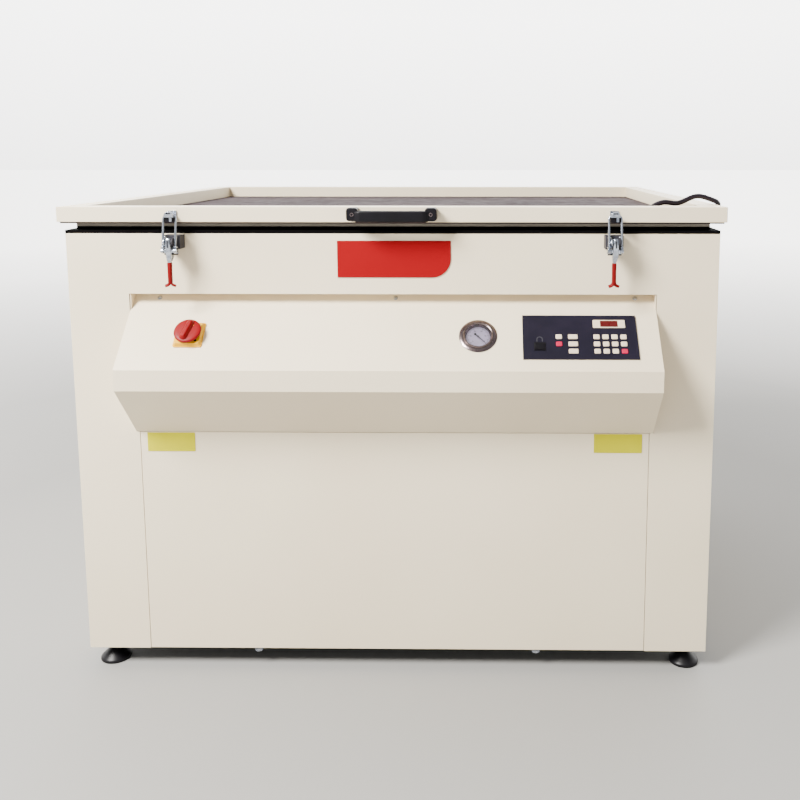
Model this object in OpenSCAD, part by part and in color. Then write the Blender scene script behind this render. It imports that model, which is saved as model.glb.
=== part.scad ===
// Screen printing exposure unit: a floor-standing cabinet with a glass top, a hinged vacuum
// blanket lid held by two toggle latches, and a sloping control console across its front.
// Units are millimetres. X runs to the right, Y to the back and Z up, with the floor at Z = 0.
// Inside the modules Y = 0 is the plane of the front panel; at_front() moves it into the frame.

/* [Cabinet] */
// Width of the cabinet over its side panels
cab_w = 1380; // [1300:10:1500]
// Depth of the cabinet, front panel to rear panel
cab_d = 1120; // [1080:10:1200]
// Height of the panels, from the underside to the top edge
cab_h = 935; // [920:5:980]
// Clear height under the cabinet
foot_h = 45; // [42:1:60]
// Thickness of the folded sheet
sheet = 2; // [1.5:0.5:2.5]
// Side of the channel of the base frame
channel = 40; // [30:5:50]
// Wall of the channel
channel_wall = 3; // [2:0.5:4]

/* [Glass] */
// From each side of the cabinet to the edge of the exposure glass
glass_edge_x = 60; // [50:5:90]
// From the front and back of the cabinet to the edge of the glass
glass_edge_y = 60; // [55:5:80]
// Thickness of the glass
glass_t = 10; // [8:1:12]
// Depth of the frame that carries the glass
top_frame_t = 15; // [14:1:20]
// Ledge under each edge of the glass
glass_ledge = 20; // [15:1:30]
// Thickness of the gasket round the glass
gasket_t = 7; // [5:1:8]

/* [Lid] */
// How far the lid stands out beyond each side of the cabinet
lid_side = 10; // [5:1:20]
// How far the lid stands out in front of the cabinet, and behind it
lid_over = 15; // [10:1:18]
// Height of the lid's rails
rail_h = 32; // [30:1:40]
// Width of the lid's rails
rail_w = 45; // [40:1:55]
// Wall of the lid's rails
rail_wall = 2.5; // [2:0.5:4]
// Thickness of the rubber blanket
blanket_t = 3; // [2:0.5:4]
// Height of the grey flange that clamps the blanket
flange_h = 8; // [6:1:10]
// Height of the hollow seal under the flange
seal_h = 6.7; // [5.5:0.1:8]
// How far the flange and the seal lie in from the edge of the lid
seal_inset = 29; // [25:1:34]

/* [Console] */
// Half width of the console
console_half = 560; // [540:5:580]
// How far the console's lip stands out from the front panel
console_out = 105; // [90:1:120]
// How far the slope runs back behind the front panel
slope_back = 36; // [30:1:45]
// Height of the lip
lip_h = 44; // [36:1:50]
// Drop of the underside, from the lip down to the front panel
under_h = 118; // [100:1:130]
// Height of the band between the recess and the top edge
band_h = 129; // [120:1:140]

/* [Fittings] */
// Half of the distance between the two toggle latches
latch_half = 460; // [430:1:480]
// How far the lid's fittings sit right of centre
trim_x = 5; // [0:1:10]
// Length of the bridge handle
handle_len = 186; // [160:2:220]
// Diameter of the vacuum gauge's bezel
gauge_d = 80; // [74:1:90]
// Width of the control panel
panel_w = 238; // [234:1:250]
// Height of the control panel along the slope
panel_h = 108; // [106:1:116]
// Outer diameter of the vacuum hose
hose_d = 11; // [9:0.5:12]
// Outer diameter of the exhaust spigot
spigot_d = 150; // [120:5:160]
// Length of the exhaust spigot
spigot_len = 60; // [50:5:80]
// Radius of a levelling foot
foot_r = 33; // [28:1:36]

/* [Hidden] */
$fn = 48;

// Finishes, as the photograph shows them
cream = "#DDD7CF";
dark_steel = "#6E7276";
bright_steel = "#C4C6C8";
zinc = "#B8BAB6";
black = "#1B1B1E";
rubber = "#6B5C68";
red = "#C8221C";
yellow = "#DDD832";
navy = "#2B2C40";
white = "#E8E8E4";
copper = "#B87333";
green = "#2F6B3C";
glass_tint = "#BFD8D2";

// Running gap between a piece and what it moves against
gap = 0.3;
// Radial clearance of a pin in its bore
fit = 0.06;
// Gap between panels that meet edge to edge
seam = 1;

// Levels
cab_top = foot_h + cab_h;
gasket_top = cab_top + gasket_t;
flange_low = gasket_top + gap + seal_h;
blanket_low = flange_low + flange_h;
rail_low = blanket_low + blanket_t;
rail_top = rail_low + rail_h;
glass_top = gasket_top;
glass_low = glass_top - glass_t;

// The cabinet's mid depth, with the console in front and the spigot behind
mid_y = (cab_d + spigot_len - console_out) / 2;
cab_half = cab_w / 2;
in_half = cab_half - sheet;
lid_half = cab_half + lid_side;
lid_d = cab_d + 2 * lid_over;
lid_front = -lid_over;
lid_back = lid_front + lid_d;
glass_w = cab_w - 2 * glass_edge_x;
glass_d = cab_d - 2 * glass_edge_y;

// The console hangs under the front band. Its slope rises at 45 degrees from the lip
recess_top = cab_top - band_h;
lip_top = recess_top - slope_back - console_out;
lip_low = lip_top - lip_h;
console_low = lip_low - under_h;
// The service panel fills the opening under the console
service_half = console_half - 8;
slope_mid = 85;
function slope_y(s) = -console_out + s * sin(45);
function slope_z(s) = lip_top + s * cos(45);

// The hinge of the lid
hinge_y = cab_d + 30;
hinge_z = rail_low;
hinge_pin_r = 6;
hinge_half = lid_half - 220;
hinge_xs = [-hinge_half, 0, hinge_half];

// Toggle latch: the lever's pivot, the bolt's pivot and the bolt's bar
latch_y = -46;
latch_z = cab_top - 14;
latch_throw = 18;
bolt_y = -32;
bolt_z = rail_low + 16;
bolt_half = 13;
bolt_r = 2.5;
bolt_run = norm([bolt_y - latch_y, bolt_z - latch_z + latch_throw]);
bolt_lean = atan2(bolt_y - latch_y, bolt_z - latch_z + latch_throw);
latch_pin_r = 2.5;
latch_block = 34;
latch_xs = [trim_x - latch_half, trim_x + latch_half];

// Gas struts: pivot on the cabinet's side, pivot on the lid's rail
strut_low = [cab_d - 80, cab_top - 345];
strut_top = [cab_d - 190, rail_low - 12];
strut_x = cab_half + 27;
strut_r = 9;
strut_rod_r = 4.5;
stud_r = 4;
strut_run = norm(strut_top - strut_low);
strut_lean = atan2(strut_top[1] - strut_low[1], strut_top[0] - strut_low[0]);
strut_tube_len = 250;

// Light box and lamp
box_mid_y = cab_d / 2;
box_top = cab_top - top_frame_t;
box_low = foot_h + 275;
box_low_half = 170;
box_wall = 1.5;
box_half_x = glass_w / 2 - glass_ledge + 6;
box_half_y = glass_d / 2 - glass_ledge + 6;
lamp_z = foot_h + 190;
lamp_r = 22;
lamp_len = 190;
pan_top = foot_h + channel + sheet;

// Fan in the rear panel
fan_x = -300;
fan_z = foot_h + 255;
fan_r = 100;
fan_frame = 220;
fan_depth = 50;
fan_blades = 7;
fan_axle_r = 4;

// Shutter blades under the light box
shutter_half = box_low_half - 22;
shutter_z = box_low - 12;
shutter_x = 166;
shutter_pin_r = 3;

// Vacuum gauge, main switch and keypad on the slope
gauge_x = console_half - 377;
gauge_r = gauge_d / 2;
needle_rest = -40;
switch_x = 140 - console_half;
switch_side = 60;
switch_t = 10;
knob_r = 27;
knob_h = 18;
panel_x = console_half - 165.5;
panel_s = slope_mid - 3;
panel_t = 3;
pad_x = panel_x + 62;
key_x = 18.6;
key_y = 17.6;
key_size = [12.6, 12];

// Fitting through which the hose enters the rear panel
bulkhead_x = cab_half - 24;
bulkhead_z = cab_top - 80;
bulkhead_r = 8;

// Vacuum hose: from the port over the right rail, then back along the rail's side.
// X from the lid's right side, Y from its front and Z from the top of its rails
hose_front = [
  [-170, 77, -18], [-163, 77, -18], [-156, 77, -15.5], [-149, 77, -9.5], [-141, 77.5, -3],
  [-130, 78, 2.8], [-117, 79, 6], [-104, 80, 5], [-94, 82, 3.5], [-84, 84, 4.5], [-74, 86, 8], [-62, 88, 13.5],
  [-50, 91, 17.5], [-39, 93, 18.5], [-28, 96, 16.5], [-17, 99, 13], [-7, 103, 9.5], [2, 108, 6],
  [8, 115, 1], [10.5, 124, -4], [10.5, 135, -8], [10, 147, -11], [9, 161, -13.3], [9, 177, -14]
];
hose_side = 9;
hose_drop = -14;
hose_back = lid_back - rail_w;
hose_straight = lid_front + 215;
hose_route = concat(
  [for (p = hose_front) [lid_half + p[0], lid_front + p[1], rail_top + p[2]]],
  [for (k = [0 : 8])
    [lid_half + hose_side, hose_straight + (hose_back - hose_straight) * k / 8, rail_top + hose_drop]]
);
// Bend over the hinge side, X and Z from the fitting and Y from the rear panel
hinge_bend = [
  [43, -30, 123], [43, -8, 123], [42, 14, 119], [40, 34, 109], [36, 52, 95], [30, 64, 75],
  [23, 70, 53], [15, 68, 32], [7, 59, 14], [2, 46, 3], [0, 35, 0], [0, 23, 0]
];
bend_x = (lid_half + hose_side - bulkhead_x) / hinge_bend[0][0];
bend_z = (rail_top + hose_drop - bulkhead_z) / hinge_bend[0][2];
hinge_route = [for (p = hinge_bend) [bulkhead_x + bend_x * p[0], cab_d + p[1], bulkhead_z + bend_z * p[2]]];
clip_ys = [lid_front + 315, lid_back - 535, lid_back - 255];

module at_front() {
  translate([0, -mid_y, 0]) children();
}

// A block between two corners
module slab(low, high) {
  translate(low) cube(high - low);
}

module rod_x(x0, x1, y, z, r) {
  translate([x0, y, z]) rotate([0, 90, 0]) cylinder(r = r, h = x1 - x0);
}

module rod_y(y0, y1, x, z, r) {
  translate([x, y1, z]) rotate([90, 0, 0]) cylinder(r = r, h = y1 - y0);
}

module rod_z(z0, z1, x, y, r) {
  translate([x, y, z0]) cylinder(r = r, h = z1 - z0);
}

// A flat ring: a rectangle with half sizes, less a smaller one
module frame_ring(half_out, half_in, mid, z0, z1) {
  difference() {
    slab([-half_out[0], mid - half_out[1], z0], [half_out[0], mid + half_out[1], z1]);
    slab([-half_in[0], mid - half_in[1], z0 - 1], [half_in[0], mid + half_in[1], z1 + 1]);
  }
}

// Children stand on the slope: local X right, local Y up the slope, local Z out of it
module on_slope(x, s) {
  translate([x, slope_y(s), slope_z(s)]) rotate([45, 0, 0]) children();
}

// A plate with round corners, centred, standing on Z = 0
module round_plate(w, h, t, r) {
  linear_extrude(t) union() {
    square([w - 2 * r, h], center = true);
    square([w, h - 2 * r], center = true);
    for (x = [-1, 1], y = [-1, 1]) translate([x * (w / 2 - r), y * (h / 2 - r)]) circle(r);
  }
}

// A pipe of straight runs with a ball elbow at each corner
elbow = 1;
module pipe(points, r) {
  for (i = [0 : len(points) - 2]) {
    run = points[i + 1] - points[i];
    flat = norm([run[0], run[1]]);
    translate(points[i])
      rotate([0, atan2(flat, run[2]), atan2(run[1], run[0])])
        cylinder(r = r, h = norm(run), $fn = 24);
  }
  for (i = [1 : len(points) - 2]) translate(points[i]) sphere(r = r + elbow, $fn = 24);
}

// A tube swept along a route, as one closed polyhedron
channels = 10;
function unit(v) = v / norm(v);
function heading(p, i) = unit(p[min(i + 1, len(p) - 1)] - p[max(i - 1, 0)]);
module swept_tube(p, r, up) {
  n = len(p);
  rings = [
    for (i = [0 : n - 1], k = [0 : channels - 1])
      let (d = heading(p, i), a = unit(cross(up, d)), b = cross(d, a), t = 360 * k / channels)
        p[i] + r * (cos(t) * a + sin(t) * b)
  ];
  walls = [
    for (i = [0 : n - 2], k = [0 : channels - 1], half = [0, 1])
      let (j = (k + 1) % channels, u = i * channels, v = u + channels)
        half == 0 ? [u + k, v + k, v + j] : [u + k, v + j, u + j]
  ];
  ends = [
    [for (k = [0 : channels - 1]) k],
    [for (k = [channels - 1 : -1 : 0]) (n - 1) * channels + k]
  ];
  polyhedron(points = rings, faces = concat(walls, ends), convexity = 4);
}

// Channel frame, open on its inner side
module base_frame() color(dark_steel) at_front() {
  y0 = sheet;
  y1 = cab_d - sheet;
  difference() {
    frame_ring([in_half, (y1 - y0) / 2], [in_half - channel, (y1 - y0) / 2 - channel],
      cab_d / 2, foot_h, foot_h + channel);
    frame_ring([in_half - channel_wall, (y1 - y0) / 2 - channel_wall],
      [in_half - channel - 1, (y1 - y0) / 2 - channel - 1],
      cab_d / 2, foot_h + channel_wall + 1, foot_h + channel - channel_wall - 1);
  }
}

module floor_pan() color(dark_steel) at_front()
  slab([-in_half, sheet, foot_h + channel], [in_half, cab_d - sheet, pan_top]);

module front_panel() color(cream) at_front() {
  difference() {
    slab([-cab_half, 0, foot_h], [cab_half, sheet, cab_top]);
    slab([-console_half - seam, -1, console_low], [console_half + seam, sheet + 1, recess_top]);
    slab([-service_half - seam, -1, foot_h - 1],
      [service_half + seam, sheet + 1, console_low + 1]);
  }
  // Folded returns beside the service opening
  for (side = [-1, 1]) {
    x = side * (service_half + seam + sheet / 2);
    slab([x - sheet / 2, sheet, foot_h + channel + 5], [x + sheet / 2, 24, console_low]);
  }
  // Folded return that roofs the recess
  slab([-console_half, sheet, recess_top], [console_half, slope_back, recess_top + sheet]);
}

module side_panel(side) {
  louvre_len = 150;
  louvre_h = 6;
  louvre_y = cab_d - 420;
  x0 = side > 0 ? in_half : -cab_half;
  difference() {
    slab([x0, sheet, foot_h], [x0 + sheet, cab_d - sheet, cab_top]);
    for (row = [0 : 7], column = [0 : 1])
      slab([x0 - 1, louvre_y + 190 * column, foot_h + 95 + 18 * row],
        [x0 + sheet + 1, louvre_y + 190 * column + louvre_len, foot_h + 95 + 18 * row + louvre_h]);
  }
}
module left_side_panel() color(cream) at_front() side_panel(-1);
module right_side_panel() color(cream) at_front() side_panel(1);

gland_x = 130 - cab_half;
gland_z = foot_h + 130;
gland_r = 12.5;
module rear_panel() color(cream) at_front() difference() {
  slab([-cab_half, cab_d - sheet, foot_h], [cab_half, cab_d, cab_top]);
  rod_y(cab_d - 10, cab_d + 10, fan_x, fan_z, spigot_d / 2);
  rod_y(cab_d - 10, cab_d + 10, gland_x, gland_z, gland_r);
  rod_y(cab_d - 10, cab_d + 10, bulkhead_x, bulkhead_z, bulkhead_r);
  for (row = [0 : 9])
    slab([150, cab_d - 10, foot_h + 150 + 18 * row], [450, cab_d + 10, foot_h + 156 + 18 * row]);
}

// The frame that closes the cabinet's top and carries the glass on a ledge
module top_frame() color(dark_steel) at_front() {
  half_y = cab_d / 2 - sheet;
  pocket = [glass_w / 2 + 3, glass_d / 2 + 3];
  ledge = [glass_w / 2 - glass_ledge, glass_d / 2 - glass_ledge];
  difference() {
    slab([-in_half, sheet, cab_top - top_frame_t], [in_half, sheet + 2 * half_y, cab_top]);
    slab([-pocket[0], cab_d / 2 - pocket[1], glass_low], [pocket[0], cab_d / 2 + pocket[1], cab_top + 1]);
    slab([-ledge[0], cab_d / 2 - ledge[1], 0], [ledge[0], cab_d / 2 + ledge[1], cab_top + 1]);
  }
}

module exposure_glass() color(glass_tint, 0.5) at_front()
  slab([-glass_w / 2, (cab_d - glass_d) / 2, glass_low], [glass_w / 2, (cab_d + glass_d) / 2, glass_top]);

module cabinet_gasket() color(black) at_front()
  frame_ring([cab_half, cab_d / 2], [glass_w / 2 + 3, glass_d / 2 + 3], cab_d / 2, cab_top, gasket_top);

// Outlines of the console's sheet in the YZ plane
console_outer = [
  [sheet, console_low], [0, console_low], [-console_out, lip_low], [-console_out, lip_top],
  [slope_back, recess_top], [slope_back, recess_top - 1.5 * sheet],
  [sheet, recess_top - 1.5 * sheet - slope_back + sheet]
];
slope_drop = (sqrt(2) - 1) * sheet;
console_inner = [
  [sheet + 1, console_low + 1.6 * sheet], [0, console_low + 1.6 * sheet],
  [-console_out + sheet, lip_low + 0.5 * sheet], [-console_out + sheet, lip_top - slope_drop],
  [sheet + 1, lip_top - slope_drop + console_out + 1]
];

module console_shell() color(cream) at_front() difference() {
  union() {
    difference() {
      // The bent sheet: slope, lip and underside
      rotate([90, 0, 90]) translate([0, 0, -console_half]) linear_extrude(2 * console_half)
        polygon(console_outer);
      rotate([90, 0, 90]) translate([0, 0, -console_half + sheet])
        linear_extrude(2 * console_half - 2 * sheet) polygon(console_inner);
    }
    // Cheeks that close the ends of the recess behind the front panel
    for (side = [-1, 1]) {
      x = side * (console_half - sheet / 2);
      translate([x - sheet / 2, 0, 0]) rotate([90, 0, 90]) linear_extrude(sheet)
        polygon([[sheet, lip_top + console_out + sheet], [slope_back, recess_top],
          [sheet, recess_top]]);
    }
  }
  on_slope(gauge_x, slope_mid) translate([0, 0, -20]) cylinder(r = gauge_body_r + 0.5, h = 40);
  on_slope(switch_x, slope_mid) translate([0, 0, -20]) cylinder(r = 12, h = 40);
  on_slope(rocker_x, rocker_s) translate([0, 0, -20])
    round_plate(rocker_w + 0.8, rocker_h + 0.8, 40, 1);
}
// Cover over the electrical bay, held by two thumb screws under its lower edge
module service_panel() color(cream) at_front() {
  z1 = console_low - seam;
  slab([-service_half, 0, foot_h + seam], [service_half, sheet, z1]);
  difference() {
    slab([-service_half + 3, sheet, foot_h + channel + 5], [service_half - 3, 14, z1 - 3]);
    slab([-service_half + 5, 0, foot_h + channel + 7], [service_half - 5, 20, z1 - 5]);
  }
}

// Sloping white walls that spread the lamp's light over the glass
module light_box() color(white) at_front() difference() {
  hull() {
    translate([0, box_mid_y, box_top - 1]) cube([2 * box_half_x, 2 * box_half_y, 2], center = true);
    translate([0, box_mid_y, box_low + 1]) cube([2 * box_low_half, 2 * box_low_half, 2], center = true);
  }
  hull() {
    translate([0, box_mid_y, box_top])
      cube([2 * box_half_x - 3 * box_wall, 2 * box_half_y - 3 * box_wall, 2], center = true);
    translate([0, box_mid_y, box_low])
      cube([2 * box_low_half - 3 * box_wall, 2 * box_low_half - 3 * box_wall, 2], center = true);
  }
}

// Open-topped housing with the lamp holders at its ends
module lamp_house() color(bright_steel) at_front() {
  half = box_low_half;
  z0 = pan_top + 40;
  z1 = box_low - 24;
  difference() {
    slab([-half, box_mid_y - half, z0], [half, box_mid_y + half, z1]);
    slab([-half + sheet, box_mid_y - half + sheet, z0 + sheet],
      [half - sheet, box_mid_y + half - sheet, z1 + 1]);
  }
  for (side = [-1, 1]) {
    slab([side * (lamp_len / 2 + 14) - 12, box_mid_y - 22, z0 + sheet],
      [side * (lamp_len / 2 + 14) + 12, box_mid_y + 22, lamp_z - lamp_r]);
    // Feet that stand on the floor pan
    slab([side * (half - 20) - 15, box_mid_y - half, pan_top],
      [side * (half - 20) + 15, box_mid_y + half, z0]);
    // Angles that carry the light box
    for (y = [box_mid_y - half, box_mid_y + half - 20])
      slab([side * (half + 1) - 1, y, z1 - 30], [side * (half + 1) + 1, y + 20, box_low]);
  }
}

module uv_lamp() color(glass_tint) at_front() {
  rod_x(-lamp_len / 2 - 10, lamp_len / 2 + 10, box_mid_y, lamp_z, lamp_r - 8);
  for (side = [-1, 1]) {
    x = side * (lamp_len / 2 + 14);
    slab([x - 12, box_mid_y - 18, lamp_z - lamp_r], [x + 12, box_mid_y + 18, lamp_z + 18]);
  }
}

// One shutter blade, hinged at its outer edge
module shutter(side) {
  mid = side * shutter_x;
  half = shutter_half;
  difference() {
    union() {
      slab([min(side * 2, mid), box_mid_y - half, shutter_z - 1],
        [max(side * 2, mid), box_mid_y + half, shutter_z + 1]);
      rod_y(box_mid_y - half, box_mid_y + half, mid, shutter_z, shutter_pin_r + 2);
    }
    rod_y(box_mid_y - half - 1, box_mid_y + half + 1, mid, shutter_z, shutter_pin_r + fit);
  }
}
module shutter_left() color(dark_steel) at_front() shutter(-1);
module shutter_right() color(dark_steel) at_front() shutter(1);

// Motor that turns the left shutter, with both shutter rods and their end bearings
module shutter_motor() color(copper) at_front() {
  half = shutter_half;
  for (side = [-1, 1]) {
    x = side * shutter_x;
    rod_y(box_mid_y - half - 14, box_mid_y + half + 14, x, shutter_z, shutter_pin_r);
    for (y = [box_mid_y - half - 14, box_mid_y + half + 6])
      slab([x - 3, y, box_low - 24], [x + 3, y + 8, shutter_z]);
  }
  motor_y = box_mid_y + box_low_half + 3;
  rod_y(box_mid_y + half + 13, motor_y + 1, -shutter_x, shutter_z, shutter_pin_r);
  rod_y(motor_y, motor_y + 60, -shutter_x, shutter_z, 11);
}

module fan_housing() color(dark_steel) at_front() {
  y1 = cab_d - sheet;
  y0 = y1 - fan_depth;
  difference() {
    slab([fan_x - fan_frame / 2, y0, fan_z - fan_frame / 2],
      [fan_x + fan_frame / 2, y1, fan_z + fan_frame / 2]);
    rod_y(y0 - 1, y1 + 1, fan_x, fan_z, fan_r);
  }
  rod_y(y0, y0 + 14, fan_x, fan_z, 32);
  rod_y(y0 + 14, y0 + 34, fan_x, fan_z, fan_axle_r);
  // Three arms carry the motor: one straight up, two down to the sides
  for (k = [0 : 2]) translate([fan_x, y0 + 2, fan_z]) rotate([0, 120 * k, 0])
    translate([-5, 0, 26]) cube([10, 6, fan_r - 22]);
  // Stay down to the floor pan
  slab([fan_x - fan_frame / 2, y0, pan_top], [fan_x + fan_frame / 2, y0 + 3, fan_z - fan_frame / 2]);
}

module fan_rotor() color(black) at_front() {
  y0 = cab_d - sheet - fan_depth + 14 + gap;
  difference() {
    union() {
      rod_y(y0, y0 + 24, fan_x, fan_z, 32);
      for (k = [0 : fan_blades - 1]) translate([fan_x, y0 + 12, fan_z]) rotate([0, 360 * k / fan_blades, 0])
        translate([30, 0, 0]) rotate([30, 0, 0]) translate([0, -1, -15]) cube([fan_r - 34, 2, 30]);
    }
    rod_y(y0 - 1, y0 + 21, fan_x, fan_z, fan_axle_r + fit);
  }
}

module exhaust_spigot() color(zinc) at_front() difference() {
  union() {
    rod_y(cab_d, cab_d + spigot_len, fan_x, fan_z, spigot_d / 2);
    slab([fan_x - spigot_d / 2 - 15, cab_d, fan_z - spigot_d / 2 - 15],
      [fan_x + spigot_d / 2 + 15, cab_d + 1.5, fan_z + spigot_d / 2 + 15]);
  }
  rod_y(cab_d - 1, cab_d + spigot_len + 1, fan_x, fan_z, spigot_d / 2 - 1.2);
}

pump_x = 430;
pump_y = cab_d - 300;
pump_r = 55;
module vacuum_pump() color(dark_steel) at_front() {
  axis_z = pan_top + 78;
  rod_x(pump_x - 80, pump_x + 80, pump_y, axis_z, pump_r);
  for (side = [-1, 1]) {
    head_x = pump_x + side * 95;
    foot_x = pump_x + side * 60;
    rod_z(axis_z, axis_z + pump_r + 25, head_x, pump_y, 24);
    slab([head_x - 26, pump_y - 30, axis_z - 26], [head_x + 26, pump_y + 30, axis_z + 26]);
    slab([foot_x - 12, pump_y - 60, pan_top], [foot_x + 12, pump_y + 60, axis_z - 30]);
  }
}

line_r = 5;
module vacuum_line() color(black) at_front() {
  axis_z = pan_top + 78;
  port_z = axis_z + pump_r + 25;
  back = cab_d - 40;
  pipe([[pump_x + 95, pump_y, port_z], [pump_x + 95, pump_y, port_z + 50],
    [pump_x + 95, back, port_z + 50], [bulkhead_x, back, port_z + 50],
    [bulkhead_x, back, bulkhead_z], [bulkhead_x, cab_d - 14, bulkhead_z]], line_r);
  // Sensing line from the gauge
  pipe([[gauge_x, gauge_end_y, gauge_end_z], [gauge_x, 60, gauge_end_z - 60 + gauge_end_y],
    [gauge_x, 60, pan_top + 60], [pump_x + 145, 60, pan_top + 60],
    [pump_x + 145, pump_y, pan_top + 60], [pump_x + 121, pump_y, pan_top + 60]], 3);
}

module hose_bulkhead() color(zinc) at_front() {
  rod_y(cab_d - 14, cab_d + 10, bulkhead_x, bulkhead_z, bulkhead_r - 0.2);
  difference() {
    rod_y(cab_d, cab_d + 6, bulkhead_x, bulkhead_z, 13, $fn = 6);
    rod_y(cab_d - 1, cab_d + 7, bulkhead_x, bulkhead_z, bulkhead_r - 0.3);
  }
  rod_y(cab_d + 10, cab_d + 23, bulkhead_x, bulkhead_z, hose_d / 2 + 1);
}

// Two ballasts: a laminated core with its winding through it
core = [100, 180, 110];
winding = [68, 216, 70];
core_y = 300;
module ballast() color(dark_steel) at_front() for (x = [-420, -270]) {
  slab([x - core[0] / 2, core_y, pan_top], [x + core[0] / 2, core_y + core[1], pan_top + core[2]]);
  slab([x - winding[0] / 2, core_y - 16, pan_top + 20],
    [x + winding[0] / 2, core_y - 16 + winding[1], pan_top + 20 + winding[2]]);
}

// Back plate with contactors, relays and capacitors
module contactor_plate() color(white) at_front() {
  x = 240;
  y = 170;
  plate = [260, 60, 260];
  relay = [50, 60, 80];
  slab([x, y, pan_top], [x + plate[0], y + 4, pan_top + plate[2]]);
  slab([x, y, pan_top], [x + plate[0], y + plate[1], pan_top + 3]);
  for (k = [0 : 3]) translate([x + 15 + 58 * k, y - relay[1], pan_top + 150]) cube(relay);
  for (k = [0 : 2]) rod_z(pan_top + 3, pan_top + 100, x + 50 + 80 * k, y + 35, 22);
}

module control_board() color(green) at_front() on_slope(panel_x, panel_s) {
  translate([-90, -42, -22]) cube([180, 84, 1.6]);
  for (x = [-82, 82], y = [-36, 36]) translate([x, y, -20.4]) cylinder(r = 3, h = 20.4 - sheet);
  translate([-60, -20, -36]) cube([40, 40, 14]);
  translate([20, -30, -32]) cube([50, 24, 10]);
}

module mains_gland() color(black) at_front() difference() {
  union() {
    rod_y(cab_d - 12, cab_d + 8, gland_x, gland_z, gland_r - 0.2);
    rod_y(cab_d, cab_d + 6, gland_x, gland_z, 17, $fn = 6);
    rod_y(cab_d + 6, cab_d + 26, gland_x, gland_z, 14);
    rod_y(cab_d - 8, cab_d - sheet, gland_x, gland_z, 16, $fn = 6);
  }
  rod_y(cab_d - 20, cab_d + 40, gland_x, gland_z, 7);
}

// Rocker switch, at the left end of the keypad
rocker_x = panel_x - 84;
rocker_s = panel_s - 24;
rocker_w = 20.5;
rocker_h = 17;

// Overlay with raised membrane keys and a raised display bezel
module control_panel() color(navy) at_front() {
  difference() {
    on_slope(panel_x, panel_s) round_plate(panel_w, panel_h, panel_t, 3);
    on_slope(rocker_x, rocker_s) translate([0, 0, -1])
      round_plate(rocker_w + 0.8, rocker_h + 0.8, 10, 1);
  }
  on_slope(panel_x - 44, panel_s) for (row = [0, 1]) key(key_size[0], row);
  on_slope(panel_x - 15, panel_s) for (row = [0 : 2]) key(19.2, row);
  on_slope(pad_x, panel_s) for (row = [0 : 2], column = [-1.5 : 1 : 1.5])
    translate([column * key_x, 0, 0]) key(key_size[0], row);
  on_slope(pad_x, panel_s + 32) translate([0, 0, panel_t]) round_plate(69.5, 22, 1, 2);
  on_slope(rocker_x, rocker_s) translate([0, 0, rocker_z]) rotate([0, 90, 0])
    cylinder(r = rocker_pin_r, h = rocker_w + 2, center = true);
}
module key(w, row) {
  translate([0, -row * key_y, panel_t]) round_plate(w, key_size[1], 0.8, 1.5);
}

// The rocker tips on a pin that crosses the overlay's opening
rocker_z = 1.5;
rocker_pin_r = 1.2;
rocker_tilt = 8;
module rocker_switch() color(black) at_front() on_slope(rocker_x, rocker_s)
  translate([0, 0, rocker_z]) rotate([rocker_tilt, 0, 0]) difference() {
    translate([-rocker_w / 2, -7, -6]) cube([rocker_w, 14, 10]);
    rotate([0, 90, 0]) cylinder(r = rocker_pin_r + fit, h = 2 * rocker_w, center = true);
  }

module switch_plate() color(yellow) at_front() on_slope(switch_x, slope_mid) difference() {
  union() {
    round_plate(switch_side, switch_side, 3, 3);
    round_plate(switch_side - 8, switch_side - 8, switch_t, 3);
  }
  translate([0, 0, -1]) cylinder(r = 8, h = switch_t + 2);
}

module switch_body() color(black) at_front() on_slope(switch_x, slope_mid) {
  translate([-24, -24, -58]) cube([48, 48, 58 - sheet]);
  translate([0, 0, -4.1]) cylinder(r = 10, h = 4.1);
  cylinder(r = 4, h = switch_t + 14);
}

module switch_knob() color(red) at_front() on_slope(switch_x, slope_mid) difference() {
  translate([0, 0, switch_t + gap]) {
    cylinder(r = knob_r, h = 9);
    rotate([0, 0, -12]) translate([-5, 3 - knob_r, 0]) cube([10, 2 * knob_r - 6, knob_h]);
  }
  translate([0, 0, -1]) cylinder(r = 4 + fit, h = switch_t + 15.5);
}

// Vacuum gauge: a flanged case let into the slope, with its dial plate
gauge_body_r = 31;
gauge_deep = 38;
gauge_end_y = slope_y(slope_mid) + gauge_deep * sin(45);
gauge_end_z = slope_z(slope_mid) - gauge_deep * cos(45);
module gauge_case() color(bright_steel) at_front() on_slope(gauge_x, slope_mid) {
  difference() {
    cylinder(r = gauge_r, h = 12);
    translate([0, 0, 3]) cylinder(r = gauge_r - 6, h = 20);
    translate([0, 0, 9]) cylinder(r = gauge_r - 4, h = 20);
  }
  translate([0, 0, -gauge_deep]) cylinder(r = gauge_body_r, h = gauge_deep + 1);
  cylinder(r = 1.2, h = 6.5);
}

module gauge_lens() color(glass_tint, 0.4) at_front() on_slope(gauge_x, slope_mid)
  translate([0, 0, 9]) cylinder(r = gauge_r - 4.1, h = 2);

module gauge_needle() color(black) at_front() on_slope(gauge_x, slope_mid)
  translate([0, 0, 4.4]) rotate([0, 0, needle_rest]) difference() {
    union() {
      cylinder(r = 4, h = 2.4);
      translate([0, -0.9, 0.6]) cube([gauge_r - 12, 1.8, 1]);
      translate([-13, -1.6, 0.6]) cube([13, 3.2, 1]);
    }
    translate([0, 0, -1]) cylinder(r = 1.2 + fit, h = 5);
  }

// Red plate on the front band, with one large round corner
module nameplate() color(red) at_front() {
  w = 240;
  h = 78;
  corner = 40;
  translate([trim_x, 0, cab_top - 54]) rotate([90, 0, 0]) linear_extrude(2) difference() {
    square([w, h], center = true);
    translate([w / 2 - corner, corner - h / 2]) difference() {
      translate([0, -corner]) square([corner + 1, corner]);
      circle(corner);
    }
  }
}

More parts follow.
